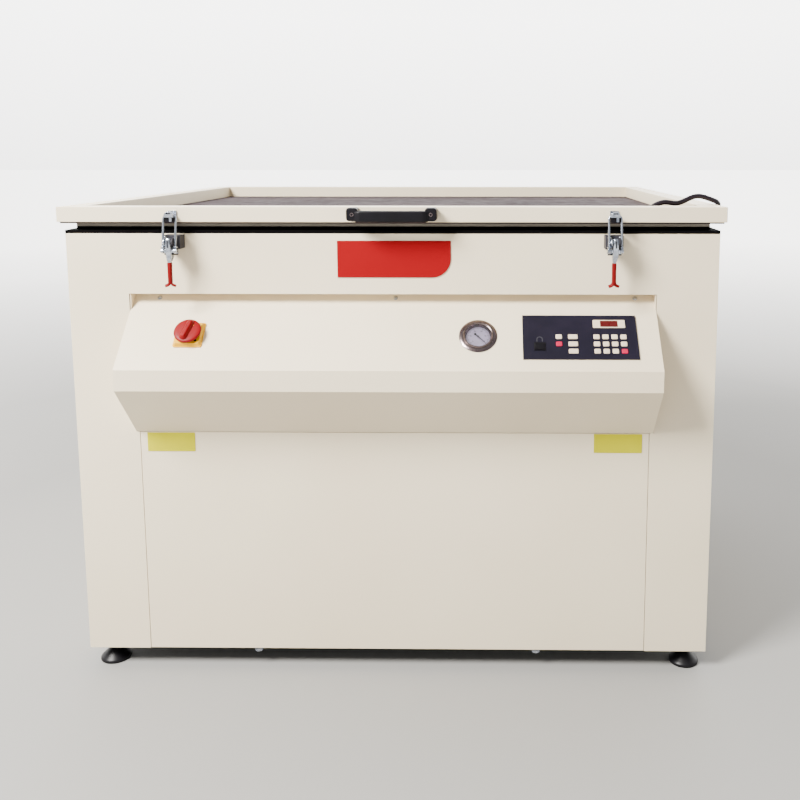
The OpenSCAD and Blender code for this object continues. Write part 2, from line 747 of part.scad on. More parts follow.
// Two plain plates under the console
module label_plates() color(yellow) at_front()
  for (side = [-1, 1]) {
    x = side * (service_half - 67);
    slab([x - 52, -1, console_low - 44], [x + 52, 0, console_low - 2]);
  }

module clamp_bases() color(zinc) at_front() for (x = latch_xs) {
  ear_in = 6.3;
  ear_out = 9.5;
  // Spacer block and its foot plate
  slab([x - 19, -latch_block, latch_z - 16], [x + 19, 0, latch_z + 13]);
  slab([x - 19, -latch_block, latch_z - 29], [x + 19, -latch_block + 4, latch_z - 16]);
  for (side = [-1, 1]) {
    x0 = x + (side > 0 ? ear_in : -ear_out);
    rod_x(x0, x0 + ear_out - ear_in, latch_y, latch_z, 8);
    slab([x0, latch_y, latch_z - 8], [x0 + ear_out - ear_in, -latch_block, latch_z + 8]);
  }
  rod_x(x - ear_out - gap, x + ear_out + gap, latch_y, latch_z, latch_pin_r);
}

// Lever of a toggle latch: it hangs down when the latch is closed
module lever(x) {
  half = 5.8;
  grip_top = latch_z - 43;
  grip_low = latch_z - 90;
  difference() {
    union() {
      rod_x(x - half, x + half, latch_y, latch_z, 8.5);
      slab([x - half, latch_y - 7, grip_top], [x + half, latch_y + 3, latch_z]);
      rod_x(x - bolt_half - 3, x + bolt_half + 3, latch_y, latch_z - latch_throw, latch_pin_r);
    }
    rod_x(x - half - 1, x + half + 1, latch_y, latch_z, latch_pin_r + fit);
  }
  // Moulded grip with a flared end
  slab([x - 5, latch_y - 9, grip_low], [x + 5, latch_y + 2, grip_top]);
  slab([x - 11, latch_y - 10, grip_low - 6], [x + 11, latch_y + 2, grip_low]);
}
module lever_left() color(zinc) at_front() lever(latch_xs[0]);
module lever_right() color(zinc) at_front() lever(latch_xs[1]);

// U-shaped bolt: two eyes on the lever's cross pin, two legs and the bar in the catch
module u_bolt(x) {
  low_z = latch_z - latch_throw;
  for (side = [-1, 1]) {
    leg_x = x + side * bolt_half;
    difference() {
      union() {
        rod_x(leg_x - bolt_r, leg_x + bolt_r, latch_y, low_z, 5);
        translate([leg_x, latch_y, low_z]) rotate([-bolt_lean, 0, 0]) translate([0, 0, 3])
          cylinder(r = bolt_r - 0.2, h = bolt_run - 3);
      }
      rod_x(leg_x - 4, leg_x + 4, latch_y, low_z, latch_pin_r + fit);
    }
  }
  rod_x(x - bolt_half - bolt_r, x + bolt_half + bolt_r, bolt_y, bolt_z, bolt_r);
}
module bolt_left() color(zinc) at_front() u_bolt(latch_xs[0]);
module bolt_right() color(zinc) at_front() u_bolt(latch_xs[1]);

// Hooks on the lid's front rail: back plate, shelf and low lip
module catch_plates() color(zinc) at_front() for (x = latch_xs) {
  half = 9;
  shelf = bolt_z - bolt_r - 1.5;
  slab([x - half, lid_front - 3, rail_low + 2], [x + half, lid_front, rail_top - 8]);
  slab([x - half, bolt_y - 10, shelf - 3], [x + half, lid_front - 3, shelf]);
  slab([x - half, bolt_y - 10, shelf], [x + half, bolt_y - 7, bolt_z + 2]);
}

// Screws: on the slope, the sides and the back, and the two thumb screws under the front
module panel_screws() color(bright_steel) at_front() {
  for (x = [56 - console_half, trim_x, console_half - 42])
    on_slope(x, slope_mid + 97.5) cylinder(r1 = 5, r2 = 3.5, h = 2.4);
  for (side = [-1, 1], y = [60, cab_d / 2, cab_d - 60], z = [foot_h + 20, cab_top - 25])
    rod_x(side > 0 ? cab_half : -cab_half - 2, side > 0 ? cab_half + 2 : -cab_half, y, z, 5);
  for (x = [30 - cab_half, -200, 200, cab_half - 30], z = [foot_h + 20, cab_top - 20])
    rod_y(cab_d, cab_d + 2, x, z, 5);
  for (side = [-1, 1]) {
    x = side * (service_half - 240);
    rod_z(foot_h - 9, foot_h - 1.5, x, 12, 9);
    rod_z(foot_h - 1.5, foot_h, x, 12, 5);
  }
}

// On the cabinet: hinge blocks with their pins, and the lower strut brackets
module rear_brackets() color(dark_steel) at_front() {
  for (x = hinge_xs) {
    for (side = [-1, 1]) {
      x0 = x + side * 34 - 8;
      rod_x(x0, x0 + 16, hinge_y, hinge_z, 12);
      slab([x0, cab_d, hinge_z - 75], [x0 + 16, hinge_y + 12, cab_top]);
      slab([x0, hinge_y - 12, cab_top], [x0 + 16, hinge_y + 12, hinge_z]);
    }
    slab([x - 42, cab_d, hinge_z - 100], [x + 42, cab_d + 6, hinge_z - 60]);
    rod_x(x - 42, x + 42, hinge_y, hinge_z, hinge_pin_r);
  }
  for (side = [-1, 1]) {
    x0 = side > 0 ? cab_half : -cab_half - 3;
    slab([x0, strut_low[0] - 18, strut_low[1] - 26], [x0 + 3, strut_low[0] + 18, strut_low[1] + 26]);
    x1 = side > 0 ? cab_half : -strut_x - 8;
    rod_x(x1, x1 + strut_x + 8 - cab_half, strut_low[0], strut_low[1], stud_r);
  }
}

// On the lid: hinge straps that turn on the pins, and the upper strut plates
module lid_brackets() color(dark_steel) at_front() {
  for (x = hinge_xs) difference() {
    union() {
      rod_x(x - 25, x + 25, hinge_y, hinge_z, 12);
      slab([x - 25, lid_back, hinge_z], [x + 25, hinge_y, hinge_z + 12]);
      slab([x - 25, lid_back, hinge_z], [x + 25, lid_back + 3, rail_top - 2]);
    }
    rod_x(x - 26, x + 26, hinge_y, hinge_z, hinge_pin_r + fit);
  }
  for (side = [-1, 1]) {
    x0 = side > 0 ? lid_half : -lid_half - 3;
    slab([x0, strut_top[0] - 16, strut_top[1] - 14], [x0 + 3, strut_top[0] + 16, rail_low + 10]);
  }
}

// Children run from the strut's lower pivot towards its upper one, along local X
module along_strut(side) {
  translate([side * strut_x, strut_low[0], strut_low[1]]) rotate([strut_lean, 0, 0])
    rotate([0, 0, 90]) children();
}
module strut_tube(side) along_strut(side) difference() {
  union() {
    rotate([0, 90, 0]) translate([0, 0, 14]) cylinder(r = strut_r, h = strut_tube_len);
    rotate([90, 0, 0]) translate([0, 0, -5]) cylinder(r = 9, h = 10);
    translate([0, -5, -6]) cube([15, 10, 12]);
  }
  rotate([90, 0, 0]) translate([0, 0, -6]) cylinder(r = stud_r + fit, h = 12);
  rotate([0, 90, 0]) translate([0, 0, 20]) cylinder(r = strut_rod_r + fit, h = strut_tube_len);
}
module strut_tube_left() color(black) at_front() strut_tube(-1);
module strut_tube_right() color(black) at_front() strut_tube(1);

module strut_rod(side) along_strut(side) {
  rotate([0, 90, 0]) translate([0, 0, 28]) cylinder(r = strut_rod_r, h = strut_run - 34);
  translate([strut_run, 0, 0]) rotate([90, 0, 0]) translate([0, 0, -5]) cylinder(r = 9, h = 10);
  // Stud that reaches the plate on the lid
  translate([strut_run, side * (strut_x - lid_half - 3 - gap) / 2, 0]) rotate([90, 0, 0])
    cylinder(r = stud_r, h = strut_x - lid_half - 3 - gap, center = true);
}
module strut_rod_left() color(bright_steel) at_front() strut_rod(-1);
module strut_rod_right() color(bright_steel) at_front() strut_rod(1);

// Screw-in feet: a rubber cone on a threaded stem
module levelling_feet() color(black) at_front()
  for (x = [-1, 1], y = [40, cab_d - 40]) translate([x * (cab_half - 40), y, 0]) {
    cylinder(r = foot_r, h = 6);
    translate([0, 0, 6]) cylinder(r1 = foot_r, r2 = 12, h = 22);
    cylinder(r = 6, h = foot_h);
  }

// Four rails folded as a channel that is open below
module lid_frame() color(cream) at_front() difference() {
  mid = lid_front + lid_d / 2;
  frame_ring([lid_half, lid_d / 2], [lid_half - rail_w, lid_d / 2 - rail_w], mid, rail_low, rail_top);
  frame_ring([lid_half - rail_wall, lid_d / 2 - rail_wall],
    [lid_half - rail_w + rail_wall, lid_d / 2 - rail_w + rail_wall],
    mid, rail_low - 1, rail_top - rail_wall);
}

blanket_inset = 5;
module blanket() color(rubber) at_front()
  slab([blanket_inset - lid_half, lid_front + blanket_inset, blanket_low],
    [lid_half - blanket_inset, lid_back - blanket_inset, rail_low]);

module blanket_flange() color("#A8A8A4") at_front()
  frame_ring([lid_half - seal_inset, lid_d / 2 - seal_inset],
    [lid_half - rail_w - 16, lid_d / 2 - rail_w - 16],
    lid_front + lid_d / 2, flange_low, blanket_low);

module lid_seal() color(black) at_front()
  frame_ring([lid_half - seal_inset, lid_d / 2 - seal_inset],
    [lid_half - seal_inset - 14, lid_d / 2 - seal_inset - 14],
    lid_front + lid_d / 2, gasket_top + gap, flange_low);

// Bridge handle: two end blocks and a bar
module lid_handle() color(black) at_front() {
  z0 = rail_low + 3;
  z1 = rail_top - 2;
  half = handle_len / 2;
  for (side = [-1, 1]) {
    x = trim_x + side * (half - 11);
    slab([x - 11, lid_front - 22, z0], [x + 11, lid_front, z1]);
  }
  slab([trim_x - half + 6, lid_front - 40, z0], [trim_x + half - 6, lid_front - 22, z1]);
}

module blanket_port() color(black) at_front() {
  start = hose_route[0];
  x = start[0] - 18;
  r = hose_d / 2 + 2;
  rod_z(rail_low, rail_low + 5, x, start[1], 24);
  rod_z(rail_low + 5, start[2] + r, x, start[1], r);
  rod_x(x, start[0], start[1], start[2], r - 1);
}

module vacuum_hose() color(black) at_front()
  swept_tube(hose_route, hose_d / 2, [0, 0, 1]);

module hinge_hose() color(black) at_front() swept_tube(hinge_route, hose_d / 2, [1, 0, 0.1]);

module hose_clips() color(bright_steel) at_front() for (y = clip_ys) {
  x = hose_route[len(hose_route) - 1][0];
  z = hose_route[len(hose_route) - 1][2];
  difference() {
    union() {
      rod_y(y - 6, y + 6, x, z, hose_d / 2 + 1.8);
      slab([lid_half, y - 6, z - 16], [lid_half + 2.6, y + 6, z]);
    }
    rod_y(y - 7, y + 7, x, z, hose_d / 2 + 0.3);
  }
}

base_frame();
floor_pan();
front_panel();
left_side_panel();
right_side_panel();
rear_panel();
top_frame();
exposure_glass();
cabinet_gasket();
console_shell();
service_panel();
light_box();
lamp_house();
uv_lamp();
shutter_motor();
fan_housing();
exhaust_spigot();
vacuum_pump();
vacuum_line();
hose_bulkhead();
ballast();
contactor_plate();
control_board();
mains_gland();
control_panel();
switch_plate();
switch_body();
gauge_case();
gauge_lens();
nameplate();
label_plates();
clamp_bases();
panel_screws();
rear_brackets();
levelling_feet();
hinge_hose();
lid_frame();
blanket();
blanket_flange();
lid_seal();
lid_handle();
catch_plates();
lid_brackets();
blanket_port();
vacuum_hose();
hose_clips();
lever_left();
lever_right();
bolt_left();
bolt_right();
strut_tube_left();
strut_tube_right();
strut_rod_left();
strut_rod_right();
switch_knob();
rocker_switch();
gauge_needle();
fan_rotor();
shutter_left();
shutter_right();
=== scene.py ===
"""The looks of a screen printing exposure unit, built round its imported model.

Pieces are drawn in millimetres from the foot of the front panel: X to the right, Y to the back and
Z up from the floor.
"""

import math

import bmesh
import bpy
import numpy as np
from mathutils import Matrix, Vector, noise


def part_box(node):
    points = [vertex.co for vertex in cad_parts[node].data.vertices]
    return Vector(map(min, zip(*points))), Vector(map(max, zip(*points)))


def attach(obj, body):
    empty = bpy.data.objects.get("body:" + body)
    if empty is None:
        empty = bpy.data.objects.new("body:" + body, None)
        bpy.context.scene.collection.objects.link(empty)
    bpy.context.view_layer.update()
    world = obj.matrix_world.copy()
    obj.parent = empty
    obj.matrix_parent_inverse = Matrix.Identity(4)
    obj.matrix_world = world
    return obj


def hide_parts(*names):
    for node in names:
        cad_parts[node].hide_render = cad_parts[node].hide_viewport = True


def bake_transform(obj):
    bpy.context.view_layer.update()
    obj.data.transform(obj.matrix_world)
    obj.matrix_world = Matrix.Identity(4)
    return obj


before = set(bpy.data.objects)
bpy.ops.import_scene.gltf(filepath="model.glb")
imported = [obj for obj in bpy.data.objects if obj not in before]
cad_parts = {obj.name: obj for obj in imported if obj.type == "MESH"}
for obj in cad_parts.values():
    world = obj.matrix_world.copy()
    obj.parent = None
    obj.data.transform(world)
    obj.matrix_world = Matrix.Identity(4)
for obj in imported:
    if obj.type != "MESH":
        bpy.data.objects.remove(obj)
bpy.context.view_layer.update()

MM = 0.001
FRONT_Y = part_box("service_panel")[0].y
TO_FRAME = Matrix.Translation((0, FRONT_Y, 0)) @ Matrix.Scale(MM, 4)
FROM_FRAME = TO_FRAME.inverted()


def span(node):
    """Lowest and highest corner of a CAD node, in millimetres from the front panel's foot."""
    low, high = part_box(node)
    return FROM_FRAME @ low, FROM_FRAME @ high


# Camera

PICTURE_SIDE = 800
SENSOR = 36
CAMERA_PLACE = (205.6, -1864.7, 1147.2)
CAMERA_YAW = 0.717
CAMERA_DIP = 7.622
FOCAL_PIXELS = 890.6
AXIS_PIXEL = (478.0, 272.6)


def add_camera():
    """The photograph's camera, found from the edges of the lid, the cabinet and the console."""
    data = bpy.data.cameras.new("camera")
    data.sensor_width = SENSOR
    data.lens = FOCAL_PIXELS * SENSOR / PICTURE_SIDE
    data.shift_x = (PICTURE_SIDE / 2 - AXIS_PIXEL[0]) / PICTURE_SIDE
    data.shift_y = (AXIS_PIXEL[1] - PICTURE_SIDE / 2) / PICTURE_SIDE
    camera = bpy.data.objects.new("camera", data)
    camera.location = TO_FRAME @ Vector(CAMERA_PLACE)
    camera.rotation_euler = (math.radians(90 - CAMERA_DIP), 0, math.radians(CAMERA_YAW))
    bpy.context.scene.collection.objects.link(camera)
    bpy.context.scene.camera = camera


# Materials


def colour(code):
    """Linear colour of an sRGB hex value."""
    parts = [int(code[i : i + 2], 16) / 255 for i in (1, 3, 5)]
    return (*[p / 12.92 if p <= 0.04045 else ((p + 0.055) / 1.055) ** 2.4 for p in parts], 1)


def add_node(tree, kind, sockets=(), **settings):
    """Adds a node with its settings. A socket, by name or number, takes a value or an output."""
    made = tree.nodes.new(kind)
    for name, value in settings.items():
        setattr(made, name, value)
    for name, value in dict(sockets).items():
        if isinstance(value, bpy.types.NodeSocket):
            tree.links.new(value, made.inputs[name])
        else:
            made.inputs[name].default_value = value
    return made


def new_material(name, **shader_sockets):
    """A material with one shader. The sockets' names have _ for each space."""
    material = bpy.data.materials.new(name)
    material.use_nodes = True
    tree = material.node_tree
    tree.nodes.clear()
    values = {key.replace("_", " "): value for key, value in shader_sockets.items()}
    shader = add_node(tree, "ShaderNodeBsdfPrincipled", values)
    add_node(tree, "ShaderNodeOutputMaterial", {"Surface": shader.outputs["BSDF"]})
    return material, tree, shader


def speckle(tree, size, detail=3, stretch=(1, 1, 1), roughness=0.5):
    """Noise with features size millimetres across, longer on an axis whose stretch is over 1."""
    place = add_node(tree, "ShaderNodeTexCoord").outputs["Object"]
    if stretch != (1, 1, 1):
        sockets = {"Vector": place, "Scale": [1 / s for s in stretch]}
        place = add_node(tree, "ShaderNodeMapping", sockets).outputs["Vector"]
    sockets = {"Vector": place, "Scale": 1 / (size * MM), "Detail": detail, "Roughness": roughness}
    return add_node(tree, "ShaderNodeTexNoise", sockets).outputs["Fac"]


def vary(tree, shader, socket, pattern, low, high, between=(0.3, 0.7)):
    """Lets a pattern, on its way between two values, take a socket of the shader from low to high,
    which are both values or both colours."""
    coloured = isinstance(low, tuple)
    first = 6 if coloured else 0  # Where the node's sockets for vectors, or for values, start
    values = [pattern, *between, low, high]
    if coloured:
        values = [pattern, *[[value] * 3 for value in between], low[:3], high[:3]]
    graded = add_node(tree, "ShaderNodeMapRange", {first + i: v for i, v in enumerate(values)},
                      data_type="FLOAT_VECTOR" if coloured else "FLOAT")
    result = graded.outputs["Vector" if coloured else "Result"]
    tree.links.new(result, shader.inputs[socket])


def bumps(tree, shader, height, depth, strength=1.0, under=None):
    """Bump of a real depth in millimetres, on top of another bump if one is given."""
    sockets = {"Height": height, "Distance": depth * MM, "Strength": strength}
    if under is not None:
        sockets["Normal"] = under
    normal = add_node(tree, "ShaderNodeBump", sockets).outputs["Normal"]
    tree.links.new(normal, shader.inputs["Normal"])
    return normal


def powder_coat(name, pale, deep):
    """Baked powder coat on folded sheet: satin, with orange peel and the slow waves of thin steel.
    Real orange peel is 1 to 2 mm across and is drawn at 5 mm, or it would not show."""
    material, tree, shader = new_material(name, IOR=1.5, Coat_Weight=0.12, Coat_Roughness=0.25)
    vary(tree, shader, "Base Color", speckle(tree, 420, 2), colour(deep), colour(pale))
    vary(tree, shader, "Roughness", speckle(tree, 90, 4), 0.40, 0.50)
    waves = bumps(tree, shader, speckle(tree, 260, 1), 1.2, 0.5)
    bumps(tree, shader, speckle(tree, 5, 2), 0.10, 0.35, waves)
    return material


def plated_steel(name, pale, deep, rough, grain=14, stretch=(1, 1, 1)):
    """Plated, brushed or cast metal, whose grain and handling marks change its tone and gloss."""
    material, tree, shader = new_material(name, Metallic=1.0)
    cells = speckle(tree, grain, 4, stretch, 0.6)
    vary(tree, shader, "Base Color", cells, colour(deep), colour(pale))
    vary(tree, shader, "Roughness", cells, rough + 0.1, rough - 0.06)
    bumps(tree, shader, speckle(tree, grain / 6, 2, stretch), 0.05, 0.3)
    return material


def painted(name, pale, deep, rough, grain, depth, gloss=0.0, size=60, shine=0.5):
    """Paint, moulded plastic or rubber: even colour that drifts a little over size millimetres, on
    a moulded grain that is grain millimetres wide and depth deep. gloss is a clear coat's share."""
    material, tree, shader = new_material(name, IOR=1.49, Coat_Weight=gloss, Coat_Roughness=0.12,
                                          Specular_IOR_Level=shine)
    vary(tree, shader, "Base Color", speckle(tree, size, 3), colour(deep), colour(pale))
    vary(tree, shader, "Roughness", speckle(tree, size / 3, 3), rough - 0.05, rough + 0.05)
    bumps(tree, shader, speckle(tree, grain, 2), depth, 0.4)
    return material


def blanket_rubber():
    """Calendered neoprene: a dull purple-grey skin with a faint bloom, rolling lines and dust."""
    material, tree, shader = new_material("neoprene_blanket", IOR=1.52, Specular_IOR_Level=0.03)
    bloom = speckle(tree, 160, 5, (3, 1, 1), 0.65)
    vary(tree, shader, "Base Color", bloom, colour("#291F22"), colour("#43373A"))
    vary(tree, shader, "Roughness", speckle(tree, 30, 4), 0.55, 0.75)
    weave = bumps(tree, shader, speckle(tree, 12, 3, (4, 1, 1)), 0.4, 0.5)
    bumps(tree, shader, speckle(tree, 2.5, 2), 0.08, 0.3, weave)
    return material


def clear_material(name, tint, rough, ior=1.5):
    """Clear glass or quartz, with a breath of dust that softens its reflections here and there."""
    material, tree, shader = new_material(name, IOR=ior, Transmission_Weight=1.0,
                                          Base_Color=colour(tint))
    vary(tree, shader, "Roughness", speckle(tree, 80, 4), rough, rough + 0.05)
    return material


def circuit_board():
    """Solder mask on glass fibre, with copper tracks that show as paler lines in cells of 6 mm."""
    material, tree, shader = new_material("circuit_board", IOR=1.5, Roughness=0.35)
    place = add_node(tree, "ShaderNodeTexCoord").outputs["Object"]
    tracks = add_node(tree, "ShaderNodeTexVoronoi", {"Vector": place, "Scale": 1 / (6 * MM)},
                      feature="DISTANCE_TO_EDGE", distance="MANHATTAN").outputs["Distance"]
    vary(tree, shader, "Base Color", tracks, colour("#5E9A5C"), colour("#1F5A33"), (0.02, 0.12))
    bumps(tree, shader, tracks, 0.1, 0.4)
    return material


# Folded sheet: warm satin cream
CREAM = powder_coat("powder_coat_cream", "#E6D8BC", "#E0D1B4")
# Plated and drawn metals. A stretched grain is the brushing, rolling or winding; sheet ends and
# wire of under 1 mm are drawn coarser, or they would not show
ZINC = plated_steel("bright_zinc_plate", "#CDD4E0", "#828A98", rough=0.22)
STAINLESS = plated_steel("brushed_stainless", "#CFC8C4", "#9C9490", rough=0.24, grain=4,
                         stretch=(1, 8, 1))
BEZEL_STEEL = plated_steel("rolled_bezel_steel", "#8A7C7C", "#54484A", rough=0.2, grain=4,
                           stretch=(1, 8, 1))
GALVANISED = plated_steel("galvanised_sheet", "#C6CACB", "#989EA2", rough=0.42, grain=16)
LAMINATED = plated_steel("transformer_steel", "#7C7F83", "#3F4145", rough=0.5, grain=1.6,
                         stretch=(8, 1, 8))
COPPER = plated_steel("enamelled_copper", "#C98A4E", "#94531F", rough=0.3, grain=1.2,
                      stretch=(6, 1, 6))
CAST_ALUMINIUM = plated_steel("cast_aluminium", "#A9ABAC", "#77797B", rough=0.55, grain=3)
# Enamels on steel: a low sheen, and a smoother skin on the name plate and the reflector
# The blue-grey enamel is also painted shade on the latches' right cheeks and rivets
SPACER_GREY = painted("blue_grey_enamel", "#37363C", "#2B2A30", 0.5, grain=3, depth=0.1, shine=0.2)
CHARCOAL = painted("charcoal_enamel", "#2A2C32", "#1E2024", 0.42, grain=4, depth=0.1, shine=0.3)
PLATE_RED = painted("red_enamelled_plate", "#84050F", "#80050E", 0.5, grain=8, depth=0.02,
                    size=240, shine=0.06)
WHITE_ENAMEL = painted("white_reflector_enamel", "#F0F0EC", "#E8E8E3", 0.3, grain=6, depth=0.05,
                       gloss=0.3)
FLANGE_GREY = painted("grey_flange_paint", "#8F877A", "#7F776B", 0.5, grain=3, depth=0.08,
                      shine=0.3)
# Moulded nylon, ABS and PVC: satin, from the grain of their moulds
BLACK_NYLON = painted("glass_filled_nylon", "#0D0B11", "#070609", 0.42, grain=1.5, depth=0.08,
                      shine=0.15)
GRIP_RED = painted("dipped_red_pvc", "#75060C", "#640408", 0.45, grain=2, depth=0.1, shine=0.12)
KNOB_RED = painted("red_abs", "#760209", "#6E0107", 0.4, grain=4, depth=0.05, shine=0.14)
SIGNAL_YELLOW = painted("yellow_abs", "#E0A800", "#D29A00", 0.4, grain=3, depth=0.05, shine=0.2)
HOSE_PVC = painted("smoky_pvc_hose", "#190F19", "#0F0910", 0.4, grain=5, depth=0.06, shine=0.25)
DISPLAY_RED = painted("red_display_filter", "#4C0E0E", "#400B0B", 0.3, grain=6, depth=0.02,
                      shine=0.3)
# Rubbers: nearly matt black
BLACK_RUBBER = painted("epdm_rubber", "#040304", "#020202", 0.8, grain=2.5, depth=0.12, shine=0.06)
FOOT_RUBBER = painted("foot_rubber", "#100F13", "#09080A", 0.42, grain=3, depth=0.1, shine=0.25)
# Printed films and cards: flat colour with next to no relief
LABEL_YELLOW = painted("yellow_vinyl", "#BDB800", "#B4AE00", 0.5, grain=6, depth=0.03, shine=0.12)
PRINT_BLACK = painted("black_screen_ink", "#101014", "#0A0A0C", 0.5, grain=2, depth=0.02,
                      shine=0.2)
OVERLAY_NAVY = painted("navy_polyester_overlay", "#171421", "#110F1A", 0.55, grain=1.6,
                       depth=0.05, shine=0.1)
KEY_CREAM = painted("cream_key_dome", "#DCCBB0", "#CFBEA4", 0.45, grain=2, depth=0.04, shine=0.3)
KEY_RED = painted("red_key_dome", "#B0083C", "#A20636", 0.45, grain=2, depth=0.04, shine=0.2)
DIAL_LILAC = painted("lilac_dial_card", "#D2C8DA", "#C6BBCF", 0.5, grain=3, depth=0.02, shine=0.1)
# Fired ceramic: chalky and pale
CERAMIC = painted("steatite_ceramic", "#E4DFD0", "#D8D1BF", 0.5, grain=2, depth=0.05)
BLANKET = blanket_rubber()
PLATE_GLASS = clear_material("plate_glass", "#DCEFE8", 0.02)
LENS_GLASS = clear_material("gauge_glass", "#FAFAFF", 0.0, 1.45)
QUARTZ = clear_material("quartz_tube", "#E6ECFF", 0.05, 1.46)
BOARD_GREEN = circuit_board()

CAD_FINISHES = {
    CHARCOAL: ["base_frame", "top_frame", "fan_housing", "shutter_left", "shutter_right"],
    GALVANISED: ["floor_pan", "lamp_house"],
    WHITE_ENAMEL: ["light_box", "contactor_plate"],
    BLACK_RUBBER: ["cabinet_gasket", "lid_seal", "vacuum_line"],
    BLACK_NYLON: ["switch_body"],
    COPPER: ["shutter_motor"],
    PLATE_GLASS: ["exposure_glass"],
    BOARD_GREEN: ["control_board"],
    LAMINATED: ["ballast"],
    ZINC: ["hose_bulkhead"],
}


# Shapes


def turn(degrees, axis="X"):
    return Matrix.Rotation(math.radians(degrees), 4, axis)


def at(x, y, z):
    """Takes local zero to a place."""
    return Matrix.Translation((x, y, z))


def aimed(start, end):
    """Takes local Z from start towards end."""
    run = Vector(end) - Vector(start)
    return Matrix.Translation(start) @ run.to_track_quat("Z", "Y").to_matrix().to_4x4()


def arc(middle, radius, start, end, steps=8):
    """Points of an arc in a plane, from one angle to another in degrees."""
    turns = [math.radians(start + (end - start) * i / steps) for i in range(steps + 1)]
    return [(middle[0] + radius * math.cos(t), middle[1] + radius * math.sin(t)) for t in turns]


def round_outline(width, height, radius, steps=6):
    """Outline of a rectangle with round corners, centred."""
    a, b = width / 2 - radius, height / 2 - radius
    corners = (((a, b), 0), ((-a, b), 90), ((-a, -b), 180), ((a, -b), 270))
    return [p for middle, start in corners for p in arc(middle, radius, start, start + 90, steps)]


def disc(radius, low, high):
    """Profile of a plain disc, for turned()."""
    return [(0, low), (radius, low), (radius, high), (0, high)]


def hoop(inner, outer, low, high):
    """Profile of a plain ring, for turned()."""
    return [(inner, low), (outer, low), (outer, high), (inner, high), (inner, low)]


def smooth_route(points, step):
    """Evenly spaced points along a smooth curve through all the given ones."""
    p = [Vector(q) for q in points]
    p = [2 * p[0] - p[1], *p, 2 * p[-1] - p[-2]]
    dense = []
    for a, b, c, d in zip(p, p[1:], p[2:], p[3:]):
        for t in np.linspace(0, 1, 24, endpoint=False):
            dense.append(0.5 * (2 * b + (c - a) * t + (2 * a - 5 * b + 4 * c - d) * t**2
                                + (3 * b - a - 3 * c + d) * t**3))
    dense.append(p[-2])
    runs = [0.0]
    for a, b in zip(dense, dense[1:]):
        runs.append(runs[-1] + (b - a).length)
    wanted = np.linspace(0, runs[-1], max(2, round(runs[-1] / step) + 1))
    columns = [np.interp(wanted, runs, [q[i] for q in dense]) for i in range(3)]
    return [Vector(q) for q in zip(*columns)]


SHARP_DEGREES = 32  # Edges that turn more than this are rounded
WIDE_FACE = 4e-4  # Square metres past which a sheet's face shades flat


